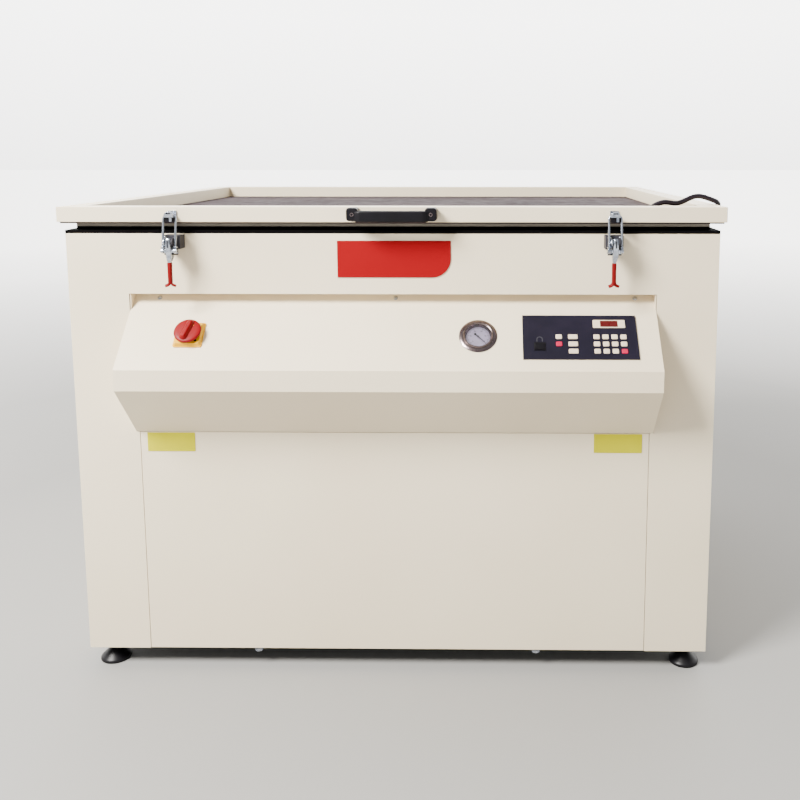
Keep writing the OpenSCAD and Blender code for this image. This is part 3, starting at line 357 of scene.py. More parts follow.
class Shape:
    """A piece in the making: blocks, turned parts, extrusions and tubes, joined in one mesh."""

    def __init__(self):
        self.whole = bmesh.new()

    def add(self, part, place=None):
        """Adds a part in the making, or a mesh, at a place."""
        mesh = part
        if isinstance(part, bmesh.types.BMesh):
            mesh = bpy.data.meshes.new("part")
            part.to_mesh(mesh)
            part.free()
        if place is not None:
            mesh.transform(place)
        self.whole.from_mesh(mesh)
        bpy.data.meshes.remove(mesh)
        return self

    def closed(self, part, place, soften=0, steps=1):
        """Turns a closed part's faces outwards, rounds its sharp edges and adds it."""
        bmesh.ops.recalc_face_normals(part, faces=part.faces)
        if soften:
            sharp = [e for e in part.edges if len(e.link_faces) == 2
                     and e.calc_face_angle(0) > math.radians(SHARP_DEGREES)]
            bmesh.ops.bevel(part, geom=sharp, offset=soften, segments=steps, profile=0.5,
                            affect="EDGES", clamp_overlap=True)
        return self.add(part, place)

    def skin(self, part, rings, place=None):
        """Closes rings that have as many points each with a skin, flat at both ends."""
        for a, b in zip(rings, rings[1:]):
            for k in range(len(a)):
                j = (k + 1) % len(a)
                part.faces.new((a[k], a[j], b[j], b[k]))
        part.faces.new(rings[0])
        part.faces.new(rings[-1])
        return self.closed(part, place)

    def block(self, low, high, soften=0.4, steps=2, place=None):
        part = bmesh.new()
        bmesh.ops.create_cube(part, size=1)
        low, high = Vector(low), Vector(high)
        fit = Matrix.Translation((low + high) / 2) @ Matrix.Diagonal((*(high - low), 1))
        bmesh.ops.transform(part, matrix=fit, verts=part.verts)
        return self.closed(part, place, soften, steps)

    def slab(self, outline, low, high, soften=0.3, steps=2, place=None):
        """An outline in local XY between two levels of local Z."""
        part = bmesh.new()
        bottom = part.faces.new([part.verts.new((x, y, low)) for x, y in outline])
        made = bmesh.ops.extrude_face_region(part, geom=[bottom])
        top = [v for v in made["geom"] if isinstance(v, bmesh.types.BMVert)]
        bmesh.ops.translate(part, verts=top, vec=(0, 0, high - low))
        return self.closed(part, place, soften, steps)

    def turned(self, profile, place=None, sides=48):
        """A profile of (radius, height) points turned round local Z. Radius 0 is a pole."""
        part = bmesh.new()
        turns = [2 * math.pi * k / sides for k in range(sides)]
        rings = []
        for r, z in profile:
            if r == 0:
                rings.append([part.verts.new((0, 0, z))])
            else:
                rings.append([part.verts.new((r * math.cos(t), r * math.sin(t), z)) for t in turns])
        for a, b in zip(rings, rings[1:]):
            for k in range(sides if len(a) + len(b) > 2 else 0):
                j = (k + 1) % sides
                corners = [a[k % len(a)], a[j % len(a)], b[j % len(b)], b[k % len(b)]]
                part.faces.new(list(dict.fromkeys(corners)))
        for ring in (rings[0], rings[-1]):
            if len(ring) > 1 and profile[0] != profile[-1]:
                part.faces.new(ring)
        bmesh.ops.remove_doubles(part, verts=part.verts, dist=1e-4)
        return self.closed(part, place)

    def rod(self, start, end, radius, soften=0.4, sides=32):
        """A round bar with softened ends."""
        length = (Vector(end) - Vector(start)).length
        profile = [(0, 0), (radius - soften, 0), (radius, soften), (radius, length - soften),
                   (radius - soften, length), (0, length)]
        return self.turned(profile, aimed(start, end), sides)

    def tube(self, route, radius, sides=16, flat=1.0):
        """A bar swept along a route, closed at its ends, with one radius or one for each point.
        flat stretches its section to one side."""
        part = bmesh.new()
        points = [Vector(q) for q in route]
        last = len(points) - 1
        ways = [(points[min(i + 1, last)] - points[max(i - 1, 0)]).normalized()
                for i in range(len(points))]
        radii = radius if isinstance(radius, list) else [radius] * len(points)
        turns = [2 * math.pi * k / sides for k in range(sides)]
        side = ways[0].orthogonal().normalized()
        rings = []
        for q, way, r in zip(points, ways, radii):
            side = (side - side.dot(way) * way).normalized()
            over = way.cross(side)
            rings.append([part.verts.new(q + r * (math.cos(t) * side + flat * math.sin(t) * over))
                          for t in turns])
        return self.skin(part, rings)

    def loft(self, sections):
        """Skin over closed sections that have as many points each, flat at both ends."""
        part = bmesh.new()
        return self.skin(part, [[part.verts.new(q) for q in section] for section in sections])

    def thread(self, start, end, radius, pitch, depth, sides=16):
        """A threaded rod whose groove winds round it."""
        length = (Vector(end) - Vector(start)).length
        part = bmesh.new()
        rings = []
        for i in range(int(length / pitch * 4) + 1):
            z = min(i * pitch / 4, length)
            ring = []
            for k in range(sides):
                along = (z / pitch - k / sides) % 1
                r = radius - depth * abs(2 * along - 1)
                t = 2 * math.pi * k / sides
                ring.append(part.verts.new((r * math.cos(t), r * math.sin(t), z)))
            rings.append(ring)
        return self.skin(part, rings, aimed(start, end))

    def nut(self, start, end, across):
        """A hexagon between two points, across flats."""
        length = (Vector(end) - Vector(start)).length
        outline = arc((0, 0), across / 2 / math.cos(math.radians(30)), 0, 300, 5)
        return self.slab(outline, 0, length, 0.5, 2, aimed(start, end))

    def mesh(self, name, smooth=35):
        """Ends the shape as a mesh whose edges stay sharp past an angle in degrees."""
        made = bpy.data.meshes.new(name)
        self.whole.to_mesh(made)
        self.whole.free()
        made.shade_smooth()
        made.set_sharp_from_angle(angle=math.radians(smooth))
        return made

    def finish(self, name, body, material, replaces=(), slot=None, smooth=35):
        """Makes the piece and lets it ride on its body."""
        made = self.mesh(name, smooth)
        made.transform(TO_FRAME)
        return dress(name, made, body, material, replaces)


def dress(name, mesh, body, material, replaces=()):
    """Gives a finished mesh its material and its body, and hides the CAD nodes that it stands for.
    """
    mesh.materials.clear()
    mesh.materials.append(material)
    piece = bpy.data.objects.new(name, mesh)
    bpy.context.scene.collection.objects.link(piece)
    even = piece.modifiers.new("even_shading", "WEIGHTED_NORMAL")
    even.keep_sharp = True
    if body:
        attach(piece, body)
    if replaces:
        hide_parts(*replaces)
    return piece


def softened(name, node, body, material, soften, slot, steps=3):
    """A copy of a CAD node with its edges rounded as folded or moulded edges are. Its wide faces
    shade flat, or the cut-outs in them would streak."""
    part = bmesh.new()
    part.from_mesh(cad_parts[node].data)
    bmesh.ops.transform(part, matrix=FROM_FRAME, verts=part.verts)
    bmesh.ops.remove_doubles(part, verts=part.verts, dist=0.002)
    bmesh.ops.dissolve_limit(part, angle_limit=math.radians(0.5), verts=part.verts,
                             edges=part.edges)
    piece = Shape().closed(part, None, soften, steps).finish(name, body, material, [node], slot)
    for face in piece.data.polygons:
        if face.area > WIDE_FACE:
            face.use_smooth = False


# Geometry Nodes: what repeats


def new_tree(name, inputs):
    """A tree that starts from named inputs. Returns the tree and its input node."""
    tree = bpy.data.node_groups.new(name, "GeometryNodeTree")
    for label, kind in inputs:
        tree.interface.new_socket(label, in_out="INPUT", socket_type="NodeSocket" + kind)
    tree.interface.new_socket("Geometry", in_out="OUTPUT", socket_type="NodeSocketGeometry")
    return tree, tree.nodes.new("NodeGroupInput")


def end_tree(tree, given, points, turned=None):
    """Puts the template on the points, makes it real and sets its material."""
    template = add_node(tree, "GeometryNodeObjectInfo", {"Object": given.outputs["Template"]})
    sockets = {"Points": points, "Instance": template.outputs["Geometry"]}
    if turned is not None:
        sockets["Rotation"] = turned
    copies = add_node(tree, "GeometryNodeInstanceOnPoints", sockets)
    real = add_node(tree, "GeometryNodeRealizeInstances", {"Geometry": copies.outputs["Instances"]})
    finish = {"Geometry": real.outputs["Geometry"], "Material": given.outputs["Material"]}
    painted_copies = add_node(tree, "GeometryNodeSetMaterial", finish)
    add_node(tree, "NodeGroupOutput", {"Geometry": painted_copies.outputs["Geometry"]})
    return tree


def rows_tree():
    """Copies in rows and columns, centred, such as louvres."""
    tree, given = new_tree("rows_of_copies", [
        ("Template", "Object"), ("Columns", "Int"), ("Rows", "Int"), ("Column pitch", "Float"),
        ("Row pitch", "Float"), ("Material", "Material")])
    sizes = []
    for count, pitch in (("Columns", "Column pitch"), ("Rows", "Row pitch")):
        gaps = add_node(tree, "ShaderNodeMath", {0: given.outputs[count], 1: 1.0},
                        operation="SUBTRACT").outputs["Value"]
        sizes.append(add_node(tree, "ShaderNodeMath", {0: gaps, 1: given.outputs[pitch]},
                              operation="MULTIPLY").outputs["Value"])
    grid = add_node(tree, "GeometryNodeMeshGrid", {
        "Size X": sizes[0], "Size Y": sizes[1], "Vertices X": given.outputs["Columns"],
        "Vertices Y": given.outputs["Rows"]})
    return end_tree(tree, given, grid.outputs["Mesh"])


def ring_tree():
    """Copies round local Z at a radius, each turned to face out, such as dial ticks and blades."""
    tree, given = new_tree("ring_of_copies", [
        ("Template", "Object"), ("Count", "Int"), ("Radius", "Float"), ("First", "Float"),
        ("Step", "Float"), ("Material", "Material")])
    index = add_node(tree, "GeometryNodeInputIndex").outputs["Index"]
    turns = {0: index, 1: given.outputs["Step"], 2: given.outputs["First"]}
    angle = add_node(tree, "ShaderNodeMath", turns, operation="MULTIPLY_ADD").outputs["Value"]
    runs = []
    for wave in ("COSINE", "SINE"):
        share = add_node(tree, "ShaderNodeMath", {0: angle}, operation=wave).outputs["Value"]
        runs.append(add_node(tree, "ShaderNodeMath", {0: share, 1: given.outputs["Radius"]},
                             operation="MULTIPLY").outputs["Value"])
    place = add_node(tree, "ShaderNodeCombineXYZ", {0: runs[0], 1: runs[1]}).outputs["Vector"]
    points = add_node(tree, "GeometryNodePoints",
                      {"Count": given.outputs["Count"], "Position": place})
    facing = add_node(tree, "ShaderNodeCombineXYZ", {"Z": angle}).outputs["Vector"]
    return end_tree(tree, given, points.outputs["Points"], facing)


def studs_tree():
    """Copies on a mesh's points, standing along each point's facing, such as screws and keys."""
    tree, given = new_tree("copies_on_points", [
        ("Geometry", "Geometry"), ("Template", "Object"), ("Material", "Material")])
    facing = add_node(tree, "GeometryNodeInputNamedAttribute", {"Name": "facing"},
                      data_type="FLOAT_VECTOR")
    aim = add_node(tree, "FunctionNodeAlignRotationToVector",
                   {"Vector": facing.outputs["Attribute"]}, axis="Z")
    return end_tree(tree, given, given.outputs["Geometry"], aim.outputs["Rotation"])


ROWS = rows_tree()
RING = ring_tree()
STUDS = studs_tree()


def grow(tree, template, material, base=None, **inputs):
    """Runs a tree of copies on a template mesh, and returns the plain mesh that it makes."""
    stamp = bpy.data.objects.new("template", template)
    holder = bpy.data.objects.new("holder", base or bpy.data.meshes.new("base"))
    for thing in (stamp, holder):
        bpy.context.scene.collection.objects.link(thing)
    modifier = holder.modifiers.new("copies", "NODES")
    modifier.node_group = tree
    inputs.update(Template=stamp, Material=material)
    for item in tree.interface.items_tree:
        value = inputs.get(item.name.replace(" ", "_"))
        if item.in_out == "INPUT" and value is not None:
            modifier[item.identifier] = value
    seen = bpy.context.evaluated_depsgraph_get()
    made = bpy.data.meshes.new_from_object(holder.evaluated_get(seen))
    for thing in (stamp, holder):
        bpy.data.objects.remove(thing)
    return made


def ring_of(template, material, count, radius=0.0):
    """Copies of a template mesh all the way round local Z, evenly spaced."""
    return grow(RING, template, material, Count=count, Radius=radius, First=0.0,
                Step=math.tau / count)


def on_points(template, material, places):
    """Copies of a template mesh at (point, facing) places."""
    base = bpy.data.meshes.new("points")
    base.from_pydata([point for point, facing in places], [], [])
    ways = base.attributes.new("facing", "FLOAT_VECTOR", "POINT")
    ways.data.foreach_set("vector", [part for point, facing in places for part in facing])
    return grow(STUDS, template, material, base)


WASHER = 0.8


def screw_head(radius, height, across_flats=0):
    """Template of a pan head with a cross recess, or of a hexagon head on a washer."""
    shape = Shape()
    if across_flats:
        shape.turned(disc(radius, 0, WASHER), sides=24)
        shape.nut((0, 0, WASHER), (0, 0, height), across_flats)
        return shape.mesh("screw_head")
    dome = [(radius * math.cos(a), height * (0.35 + 0.65 * math.sin(a)))
            for a in map(math.radians, (0, 25, 45, 62, 76))]
    pit = [(radius * 0.2, height * 0.9), (0, height * 0.45)]
    shape.turned([(0, 0), (radius, 0), *dome, *pit], sides=20)
    long, wide = radius * 0.5, radius * 0.09
    for side in (0, 90):
        shape.block((-long, -wide, height * 0.7), (long, wide, height * 1.005), 0, 1,
                    turn(side, "Z"))
    return shape.mesh("screw_head")


def screws(name, body, places, radius, height, replaces=(), slot=None, across_flats=0):
    """Bright zinc screw heads at (point, facing) places."""
    heads = on_points(screw_head(radius, height, across_flats), ZINC, places)
    Shape().add(heads).finish(name, body, ZINC, replaces, slot)


# Ways that a screw can face
RIGHT, BACK, FRONT, UP = (1, 0, 0), (0, 1, 0), (0, -1, 0), (0, 0, 1)

# Main places, read from the model

CAB_LOW, CAB_HIGH = span("front_panel")
CAB_HALF, CAB_TOP, PANEL_FOOT = CAB_HIGH.x, CAB_HIGH.z, CAB_LOW.z
REAR_Y = span("rear_panel")[1].y
LID_LOW, LID_HIGH = span("lid_frame")
LID_FRONT, LID_BACK, LID_HALF = LID_LOW.y, LID_HIGH.y, LID_HIGH.x
RAIL_LOW, RAIL_TOP = LID_LOW.z, LID_HIGH.z
RAIL_WIDE = 45
SLOPE_N = Vector((0, -math.sqrt(0.5), math.sqrt(0.5)))
SLOPE_UP = Vector((0, math.sqrt(0.5), math.sqrt(0.5)))
SHEET = 2.0
LIP_TOP = span("console_shell")[0].y, 710.0
SLOPE_MID = 85.0


def on_slope(x, s, out=0.0):
    """Local X to the right, Y up the slope and Z out of it, at a distance s above the lip."""
    foot = Vector((x, LIP_TOP[0], LIP_TOP[1]))
    return Matrix.Translation(foot + s * SLOPE_UP + out * SLOPE_N) @ turn(45)


# Vacuum hose: first on the lid, then bending over the hinge to the rear panel

HOSE_R = 5.5
# From the lid's right side, its front and the top of its rails
HOSE_FRONT = [
    (-170, 77, -18), (-163, 77, -18), (-156, 77, -15.5), (-149, 77, -9.5), (-141, 77.5, -3),
    (-130, 78, 2.8), (-117, 79, 6), (-104, 80, 5), (-94, 82, 3.5), (-84, 84, 4.5), (-74, 86, 8),
    (-62, 88, 13.5), (-50, 91, 17.5), (-39, 93, 18.5), (-28, 96, 16.5), (-17, 99, 13),
    (-7, 103, 9.5), (2, 108, 6), (8, 115, 1), (10.5, 124, -4), (10.5, 135, -8), (10, 147, -11),
    (9, 161, -13.3), (9, 177, -14),
]
HOSE_ALONG = HOSE_FRONT[-1][0], HOSE_FRONT[-1][2]
HOSE_ROUTE = [(LID_HALF + a, LID_FRONT + b, RAIL_TOP + c) for a, b, c in HOSE_FRONT]
HOSE_ROUTE += [(LID_HALF + HOSE_ALONG[0], y, RAIL_TOP + HOSE_ALONG[1])
               for y in np.linspace(LID_FRONT + 215, LID_BACK - RAIL_WIDE, 9)]
HINGE_ROUTE = [
    (709, 1090, 1023), (709, 1112, 1023), (708, 1134, 1019), (706, 1154, 1009), (702, 1172, 995),
    (696, 1184, 975), (689, 1190, 953), (681, 1188, 932), (673, 1179, 914), (668, 1166, 903),
    (666, 1155, 900), (666, 1143, 900),
]


def hose_piece(name, route, body, node, step):
    """A smooth-walled hose along its route."""
    path = smooth_route(route, step)
    shape = Shape().tube(path, HOSE_R, 20)
    piece = shape.finish(name, body, HOSE_PVC, [node], "black_rubber", 60)
    return piece


def make_hoses():
    hose_piece("blanket_hose", HOSE_ROUTE, "lid", "vacuum_hose", 5)
    bend = hose_piece("hinge_hose_bend", HINGE_ROUTE, None, "hinge_hose", 4)
    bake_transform(bend)


# Cabinet


def make_panels():
    """The folded and coated sheets of the cabinet, the console and the service cover, and the
    rails and flange of the lid."""
    for node, soften in (("front_panel", 0.9), ("left_side_panel", 0.8), ("right_side_panel", 0.8),
                         ("rear_panel", 0.8), ("console_shell", 0.95), ("service_panel", 0.95)):
        softened(node + "_sheet", node, "cabinet", CREAM, soften, "cream_powder_coat")
    softened("lid_rails", "lid_frame", "lid", CREAM, 1.2, "cream_powder_coat")
    softened("clamp_flange", "blanket_flange", "lid", FLANGE_GREY, 0.8, "aluminium")


LOUVRE_HIGH, LOUVRE_DEEP, LOUVRE_PITCH = 12, 6, 18.0
SIDE_VENT_Y = 870


def louvre(length):
    """Template of a pressed louvre: a half dome that opens downwards, out along local Z."""
    steps, wall = 6, 1.0
    sections = []
    for x, share in ((-0.5, 0.0), (-0.485, 0.55), (-0.46, 0.85), (-0.42, 1.0),
                     (0.42, 1.0), (0.46, 0.85), (0.485, 0.55), (0.5, 0.0)):
        deep = LOUVRE_DEEP * share + 0.05
        turns = [math.pi / 2 * i / steps for i in range(steps + 1)]
        outer = [(x * length, LOUVRE_HIGH * math.sin(t) - LOUVRE_HIGH / 2, deep * math.cos(t))
                 for t in turns]
        inner = [(a, b, max(c - wall, 0.0)) for a, b, c in reversed(outer)]
        sections.append(outer + inner)
    return Shape().loft(sections).mesh("louvre")


def make_louvres():
    """Rows of pressed louvres over the vents of the sides and the back."""
    side_z, back_z = PANEL_FOOT + 161, PANEL_FOOT + 234
    for name, place, facing, columns, rows, length, pitch in (
            ("left_louvres", (-CAB_HALF, SIDE_VENT_Y, side_z), -90, 2, 8, 158, 190.0),
            ("right_louvres", (CAB_HALF, SIDE_VENT_Y, side_z), 90, 2, 8, 158, 190.0),
            ("rear_louvres", (300, REAR_Y, back_z), 180, 1, 10, 308, 0.0)):
        copies = grow(ROWS, louvre(length), CREAM, Columns=columns, Rows=rows,
                      Column_pitch=pitch, Row_pitch=LOUVRE_PITCH)
        stand = at(*place) @ turn(facing, "Z") @ turn(90)
        Shape().add(copies, stand).finish(name, "cabinet", CREAM, slot="cream_powder_coat")


SLOPE_SCREW_UP = 182.5
THUMB_XS, THUMB_Y, THUMB_DROP = (-312, 312), 12, 9


def make_screws():
    """Visible fasteners of the cabinet, one piece for each kind."""
    slope = [(on_slope(x, SLOPE_SCREW_UP).to_translation(), SLOPE_N) for x in (-504, 5, 518)]
    sides = [((side * CAB_HALF, y, z), (side, 0, 0)) for side in (-1, 1) for y in (60, 560, 1060)
             for z in (PANEL_FOOT + 20, CAB_TOP - 25)]
    back = [((x, REAR_Y, z), BACK) for x in (-660, -200, 200, 660)
            for z in (PANEL_FOOT + 20, CAB_TOP - 20)]
    screws("panel_screw_heads", "cabinet", slope + sides + back, 5, 2.2, ["panel_screws"],
           "bright_steel")
    shape = Shape()
    ridge = Shape().block((-0.5, -0.6, 0), (0.7, 0.6, 7), 0.2, 1).mesh("ridge")
    knurl = ring_of(ridge, ZINC, 26, 8.6)
    head = [(0, 0), (8, 0), (8.8, 0.8), (8.8, 6.4), (8, 7.2), (5, 7.5), (5, 9), (0, 9)]
    for x in THUMB_XS:
        z = PANEL_FOOT - THUMB_DROP
        shape.turned(head, at(x, THUMB_Y, z), 40)
        shape.add(knurl.copy(), at(x, THUMB_Y, z + 0.2))
    bpy.data.meshes.remove(knurl)
    shape.finish("thumb_screws", "cabinet", ZINC, slot="bright_steel")


FOOT_R = 33.0
NUT_LOW, NUT_HIGH = 30.4, 36


def make_feet():
    """Rubber cones on threaded stems, each with its lock nut."""
    low, high = span("levelling_feet")
    cone = [(0, 0), (FOOT_R - 2, 0), *arc((FOOT_R - 2, 2), 2, -90, 0, 4), (FOOT_R, 5),
            (FOOT_R - 1.2, 7.5), (FOOT_R - 5, 10.5), (20, 18), (15, 23.5), (12.5, 26.5),
            (10.5, 28), (0, 28)]
    collar = [(0, 27.6), (10, 27.6), (10.6, 28.6), (9, NUT_LOW), (0, NUT_LOW)]
    rubber, steel = Shape(), Shape()
    for x in (low.x + FOOT_R, high.x - FOOT_R):
        for y in (low.y + FOOT_R, high.y - FOOT_R):
            rubber.turned(cone, at(x, y, 0), 64)
            steel.turned(collar, at(x, y, 0), 40)
            steel.nut((x, y, NUT_LOW), (x, y, NUT_HIGH), 15)
            steel.thread((x, y, NUT_HIGH), (x, y, PANEL_FOOT - 0.2), 6, 1.75, 0.9)
    rubber.finish("foot_cones", "cabinet", FOOT_RUBBER, ["levelling_feet"], "black_rubber")
    steel.finish("foot_stems", "cabinet", ZINC, slot="bright_steel")


def make_plates():
    """The bare name plate, and the two bare label plates."""
    softened("name_plate", "nameplate", "cabinet", PLATE_RED, 0.5, "red_plate")
    softened("side_labels", "label_plates", "cabinet", LABEL_YELLOW, 0.3, "yellow_plate")


# Lid

PORT = Vector(HOSE_ROUTE[0]) - Vector((18, 0, 0))
SAG = 1.0
RIDGE_HIGH, CREASE_HIGH, PULL_HIGH = 1.4, 1.3, 0.9
PULL_FOLDS, PULL_AWAY, PULL_WIDE = 9, 90, 60


def make_blanket():
    """The stretched rubber blanket: one sheet under the rails, with the creases that its port and
    its own slack leave in it."""
    low, high = span("blanket")
    wide, deep, thick = high.x - low.x, high.y - low.y, high.z - low.z
    columns, rows = 300, 240
    inner_x, inner_low, inner_high = (LID_HALF - RAIL_WIDE, LID_FRONT + RAIL_WIDE,
                                      LID_BACK - RAIL_WIDE)
    grid = []
    for j in range(rows + 1):
        y = low.y + deep * j / rows
        for i in range(columns + 1):
            x = low.x + wide * i / columns
            edge = min(inner_x - abs(x), y - inner_low, inner_high - y)
            free = min(max(edge / 60, 0), 1)
            ridge = noise.noise((x / 260 + 0.15 * y / 100, y / 85, 1.7))
            crease = max(0.0, 1 - abs(noise.noise((x / 330, y / 60 + x / 500, 5.2))) * 5)
            from_port = math.hypot(x - PORT.x, y - PORT.y)
            folds = math.cos(PULL_FOLDS * math.atan2(y - PORT.y, x - PORT.x))
            pull = folds * math.exp(-((from_port - PULL_AWAY) / PULL_WIDE) ** 2)
            slack = RIDGE_HIGH * ridge + CREASE_HIGH * crease + SAG + PULL_HIGH * pull
            grid.append((x, y, high.z + max(free * free * (3 - 2 * free) * slack, -1.0)))
    line = columns + 1
    faces = [(j * line + i, j * line + i + 1, (j + 1) * line + i + 1, (j + 1) * line + i)
             for j in range(rows) for i in range(columns)]
    mesh = bpy.data.meshes.new("rubber_blanket")
    mesh.from_pydata(grid, [], faces)
    mesh.shade_smooth()
    mesh.transform(TO_FRAME)
    piece = dress("rubber_blanket", mesh, None, BLANKET)
    wall = piece.modifiers.new("thickness", "SOLIDIFY")
    wall.thickness = thick * MM
    wall.offset = -1
    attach(piece, "lid")
    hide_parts("blanket")


def make_port():
    """Moulded suction port clamped through the blanket, with its barb and hose clamp."""
    start = Vector(HOSE_ROUTE[0])
    x, y, z = PORT
    foot = [(0, 0), (24, 0), (24, 3.4), (22.6, 5), (12, 5.6), (8.6, 8), (7.6, 12)]
    dome = [(7.5, z + 4), (6.4, z + 6.6), (4, z + 7.5), (0, z + 7.6)]
    barb = [(0, 0), (6.5, 0), (6.5, 11), (6.1, 11.5), (6.5, 12), (6.5, 18), (0, 18)]
    shape = Shape()
    shape.turned([(r, RAIL_LOW + level) for r, level in foot] + dome, at(x, y, 0), 56)
    shape.turned(barb, at(x, y, z) @ turn(90, "Y"), 32)
    shape.finish("suction_port", "lid", BLACK_NYLON, ["blanket_port"], "black_plastic")
    ring = [((a, b, RAIL_LOW + 5.1), UP) for a, b in arc((x, y), 17, 45, 315, 3)]
    screws("port_screws", "lid", ring, 3, 1.6)
    band = Shape()
    band.turned(hoop(HOSE_R + 0.05, HOSE_R + 0.8, -5, 5),
                Matrix.Translation(start + Vector((8, 0, 0))) @ turn(90, "Y"), 32)
    band.block(start + Vector((4, -4, HOSE_R + 0.4)), start + Vector((12, 4, HOSE_R + 5)))
    band.finish("hose_clamp", "lid", STAINLESS)


CLIP_YS = (300, 600, 880)


def make_clips():
    """P-clips that hold the hose along the right rail."""
    x, z = HOSE_ROUTE[-1][0], HOSE_ROUTE[-1][2]
    shape = Shape()
    for y in CLIP_YS:
        shape.turned(hoop(HOSE_R + 0.2, HOSE_R + 1.6, -6, 6), at(x, y, z) @ turn(90), 40)
        shape.block((LID_HALF + 0.1, y - 6, z - 16), (LID_HALF + 1.6, y + 6, z - 3), 0.3)
    shape.finish("hose_p_clips", "lid", ZINC, ["hose_clips"], "bright_steel")
    screws("clip_screws", "lid", [((LID_HALF + 1.5, y, z - 11.5), RIGHT) for y in CLIP_YS], 3.4, 2)


def make_handle():
    """Bridge handle: two round-cornered end blocks with sunk screws, and a lower bar between."""
    low, high = span("lid_handle")
    mid, half, mid_z = (low.x + high.x) / 2, (high.x - low.x) / 2, (low.z + high.z) / 2
    shape, rings = Shape(), Shape()
    for side in (-1, 1):
        place = at(mid + side * (half - 12), LID_FRONT, mid_z + 1.4) @ turn(90)
        shape.slab(round_outline(24, 27.5, 6), 0, 31, 2.6, 4, place)
        rings.turned(hoop(2.5, 3.8, 30.8, 31.3), place, 28)
    bar = round_outline(20, 24, 4.5)
    ends = ((18, 4, 0.88), (24, 1.2, 0.97), (30, 0, 1))  # From the handle's end, bowed in, size
    places = [(mid - half + run, bow, size) for run, bow, size in ends]
    places += [(mid + half - run, bow, size) for run, bow, size in reversed(ends)]
    shape.loft([[(x, low.y + 12 + bow + a * size, mid_z - 2.8 + b * size) for a, b in bar]
                for x, bow, size in places])
    shape.finish("bridge_handle", "lid", BLACK_NYLON, ["lid_handle"], "black_plastic", 40)
    rings.finish("handle_screw_rings", "lid", BEZEL_STEEL)


# Latches

LATCH_XS = [(a.x + b.x) / 2 for a, b in (span("lever_left"), span("lever_right"))]
LATCH_Y, LATCH_Z, LATCH_THROW = -46.0, 966.0, 18.0
THROW_Z = LATCH_Z - LATCH_THROW
BOLT_Y, BOLT_Z, BOLT_HALF, BOLT_R = -32.0, RAIL_LOW + 16, 13.0, 2.5
# Takes an outline drawn as seen from the side, Y and Z, to its place
IN_SIDE_VIEW = Matrix(((0, 0, 1, 0), (1, 0, 0, 0), (0, 1, 0, 0), (0, 0, 0, 1)))


def make_catches():
    """Keepers on the lid's front rail: a shelf for the bolt behind a tall round-topped lip, with a
    black sheet for its slot and a black pad under the shelf, both painted shade of the hollows
    there."""
    shape, shade_pads = Shape(), Shape()
    shelf, top, half = BOLT_Z - 3.8, RAIL_TOP - 18.0, 9.8
    on_rail = at(0, LID_FRONT, 0) @ turn(90)
    for x in LATCH_XS:
        lip = [(x - half, shelf - 0.7), (x + half, shelf - 0.7), *arc((x, top), half, 0, 180, 14)]
        shape.slab(lip, 24, 26.6, 0.7, 3, on_rail)
        # Each block from low to high: across, out from the rail and up
        for part, across, y0, z0, y1, z1, soften in (
                (shape, (1.4, 6.6), 26.4, RAIL_LOW + 2.6, 24.2, shelf + 1, 0.6),
                (shape, (-half, half), 26, shelf - 0.7, 1, shelf + 0.7, 0.3),
                (shape, (-9, 9), 3, RAIL_LOW + 2, 0, RAIL_TOP - 8, 0.5),
                # The black pad under the shelf stands for the shade in the hollow there: painted
                # shade
                (shade_pads, (-10, 10), 23.6, RAIL_LOW + 1.6, 2.6, shelf - 0.9, 0.6)):
            part.block((x + across[0], LID_FRONT - y0, z0), (x + across[1], LID_FRONT - y1, z1),
                       soften)
        # The slot is a thin black sheet on the lip: painted shade of the hole
        slot = on_rail @ at(x, RAIL_TOP - 12.5, 0)
        shade_pads.slab(round_outline(10, 2.4, 1.1), 26.5, 26.9, 0, 1, slot)
    shape.finish("catch_hooks", "lid", ZINC, ["catch_plates"], "zinc_plate")
    shade_pads.finish("catch_buffers", "lid", BLACK_NYLON)


def make_latch_bases():
    """Stamped latch bases on their spacer blocks, with a bright left cheek and a right cheek and
    rivet in dark grey as painted shade, bent-out feet and a riveted pin."""
    shape, spacers_and_painted_shade = Shape(), Shape()
    cheek = [(-33, LATCH_Z + 11), *arc((LATCH_Y, LATCH_Z), 8, 60, 250, 10), (-33, LATCH_Z - 20)]
    rivet = [(0, 0), (4, 0), (3.6, 0.9), (2, 1.4), (0, 1.5)]
    for x in LATCH_XS:
        spacers_and_painted_shade.block((x - 18.5, -30, LATCH_Z - 16), (x + 18.5, 0, LATCH_Z + 12.5), 0.8)
        spacers_and_painted_shade.block((x - 14.3, -33.4, LATCH_Z - 28), (x + 14.3, -30.1, LATCH_Z + 12.8), 0.7)
        for side in (-1, 1):
            # The right cheek and rivet are dark grey: painted shade, as cast by the hub under a
            # left light
            plate = shape if side < 0 else spacers_and_painted_shade
            plate.slab(cheek, 0, 2.4, 0.5, 2, at(x + side * 8 - 1.2, 0, 0) @ IN_SIDE_VIEW)
            foot = sorted((x + side * 8, x + side * 16.5))
            shape.block((foot[0], -42, LATCH_Z - 24), (foot[1], -32, LATCH_Z - 21.4), 0.6)
            plate.turned(rivet, aimed((x + side * 9.3, LATCH_Y, LATCH_Z),
                                      (x + side * 20, LATCH_Y, LATCH_Z)), 24)
        shape.rod((x - 9.8, LATCH_Y, LATCH_Z), (x + 9.8, LATCH_Y, LATCH_Z), 2.5)
    shape.finish("latch_bases", "cabinet", ZINC, ["clamp_bases"], "zinc_plate")
    spacers_and_painted_shade.finish("latch_spacers", "cabinet", SPACER_GREY)
    heads = [((x + dx, -33.4, LATCH_Z + dz), FRONT) for x in LATCH_XS for dx in (-11.4, 11.4)
             for dz in (-18, 9.2)]
    screws("latch_screws", "cabinet", heads, 2.6, 1.6)


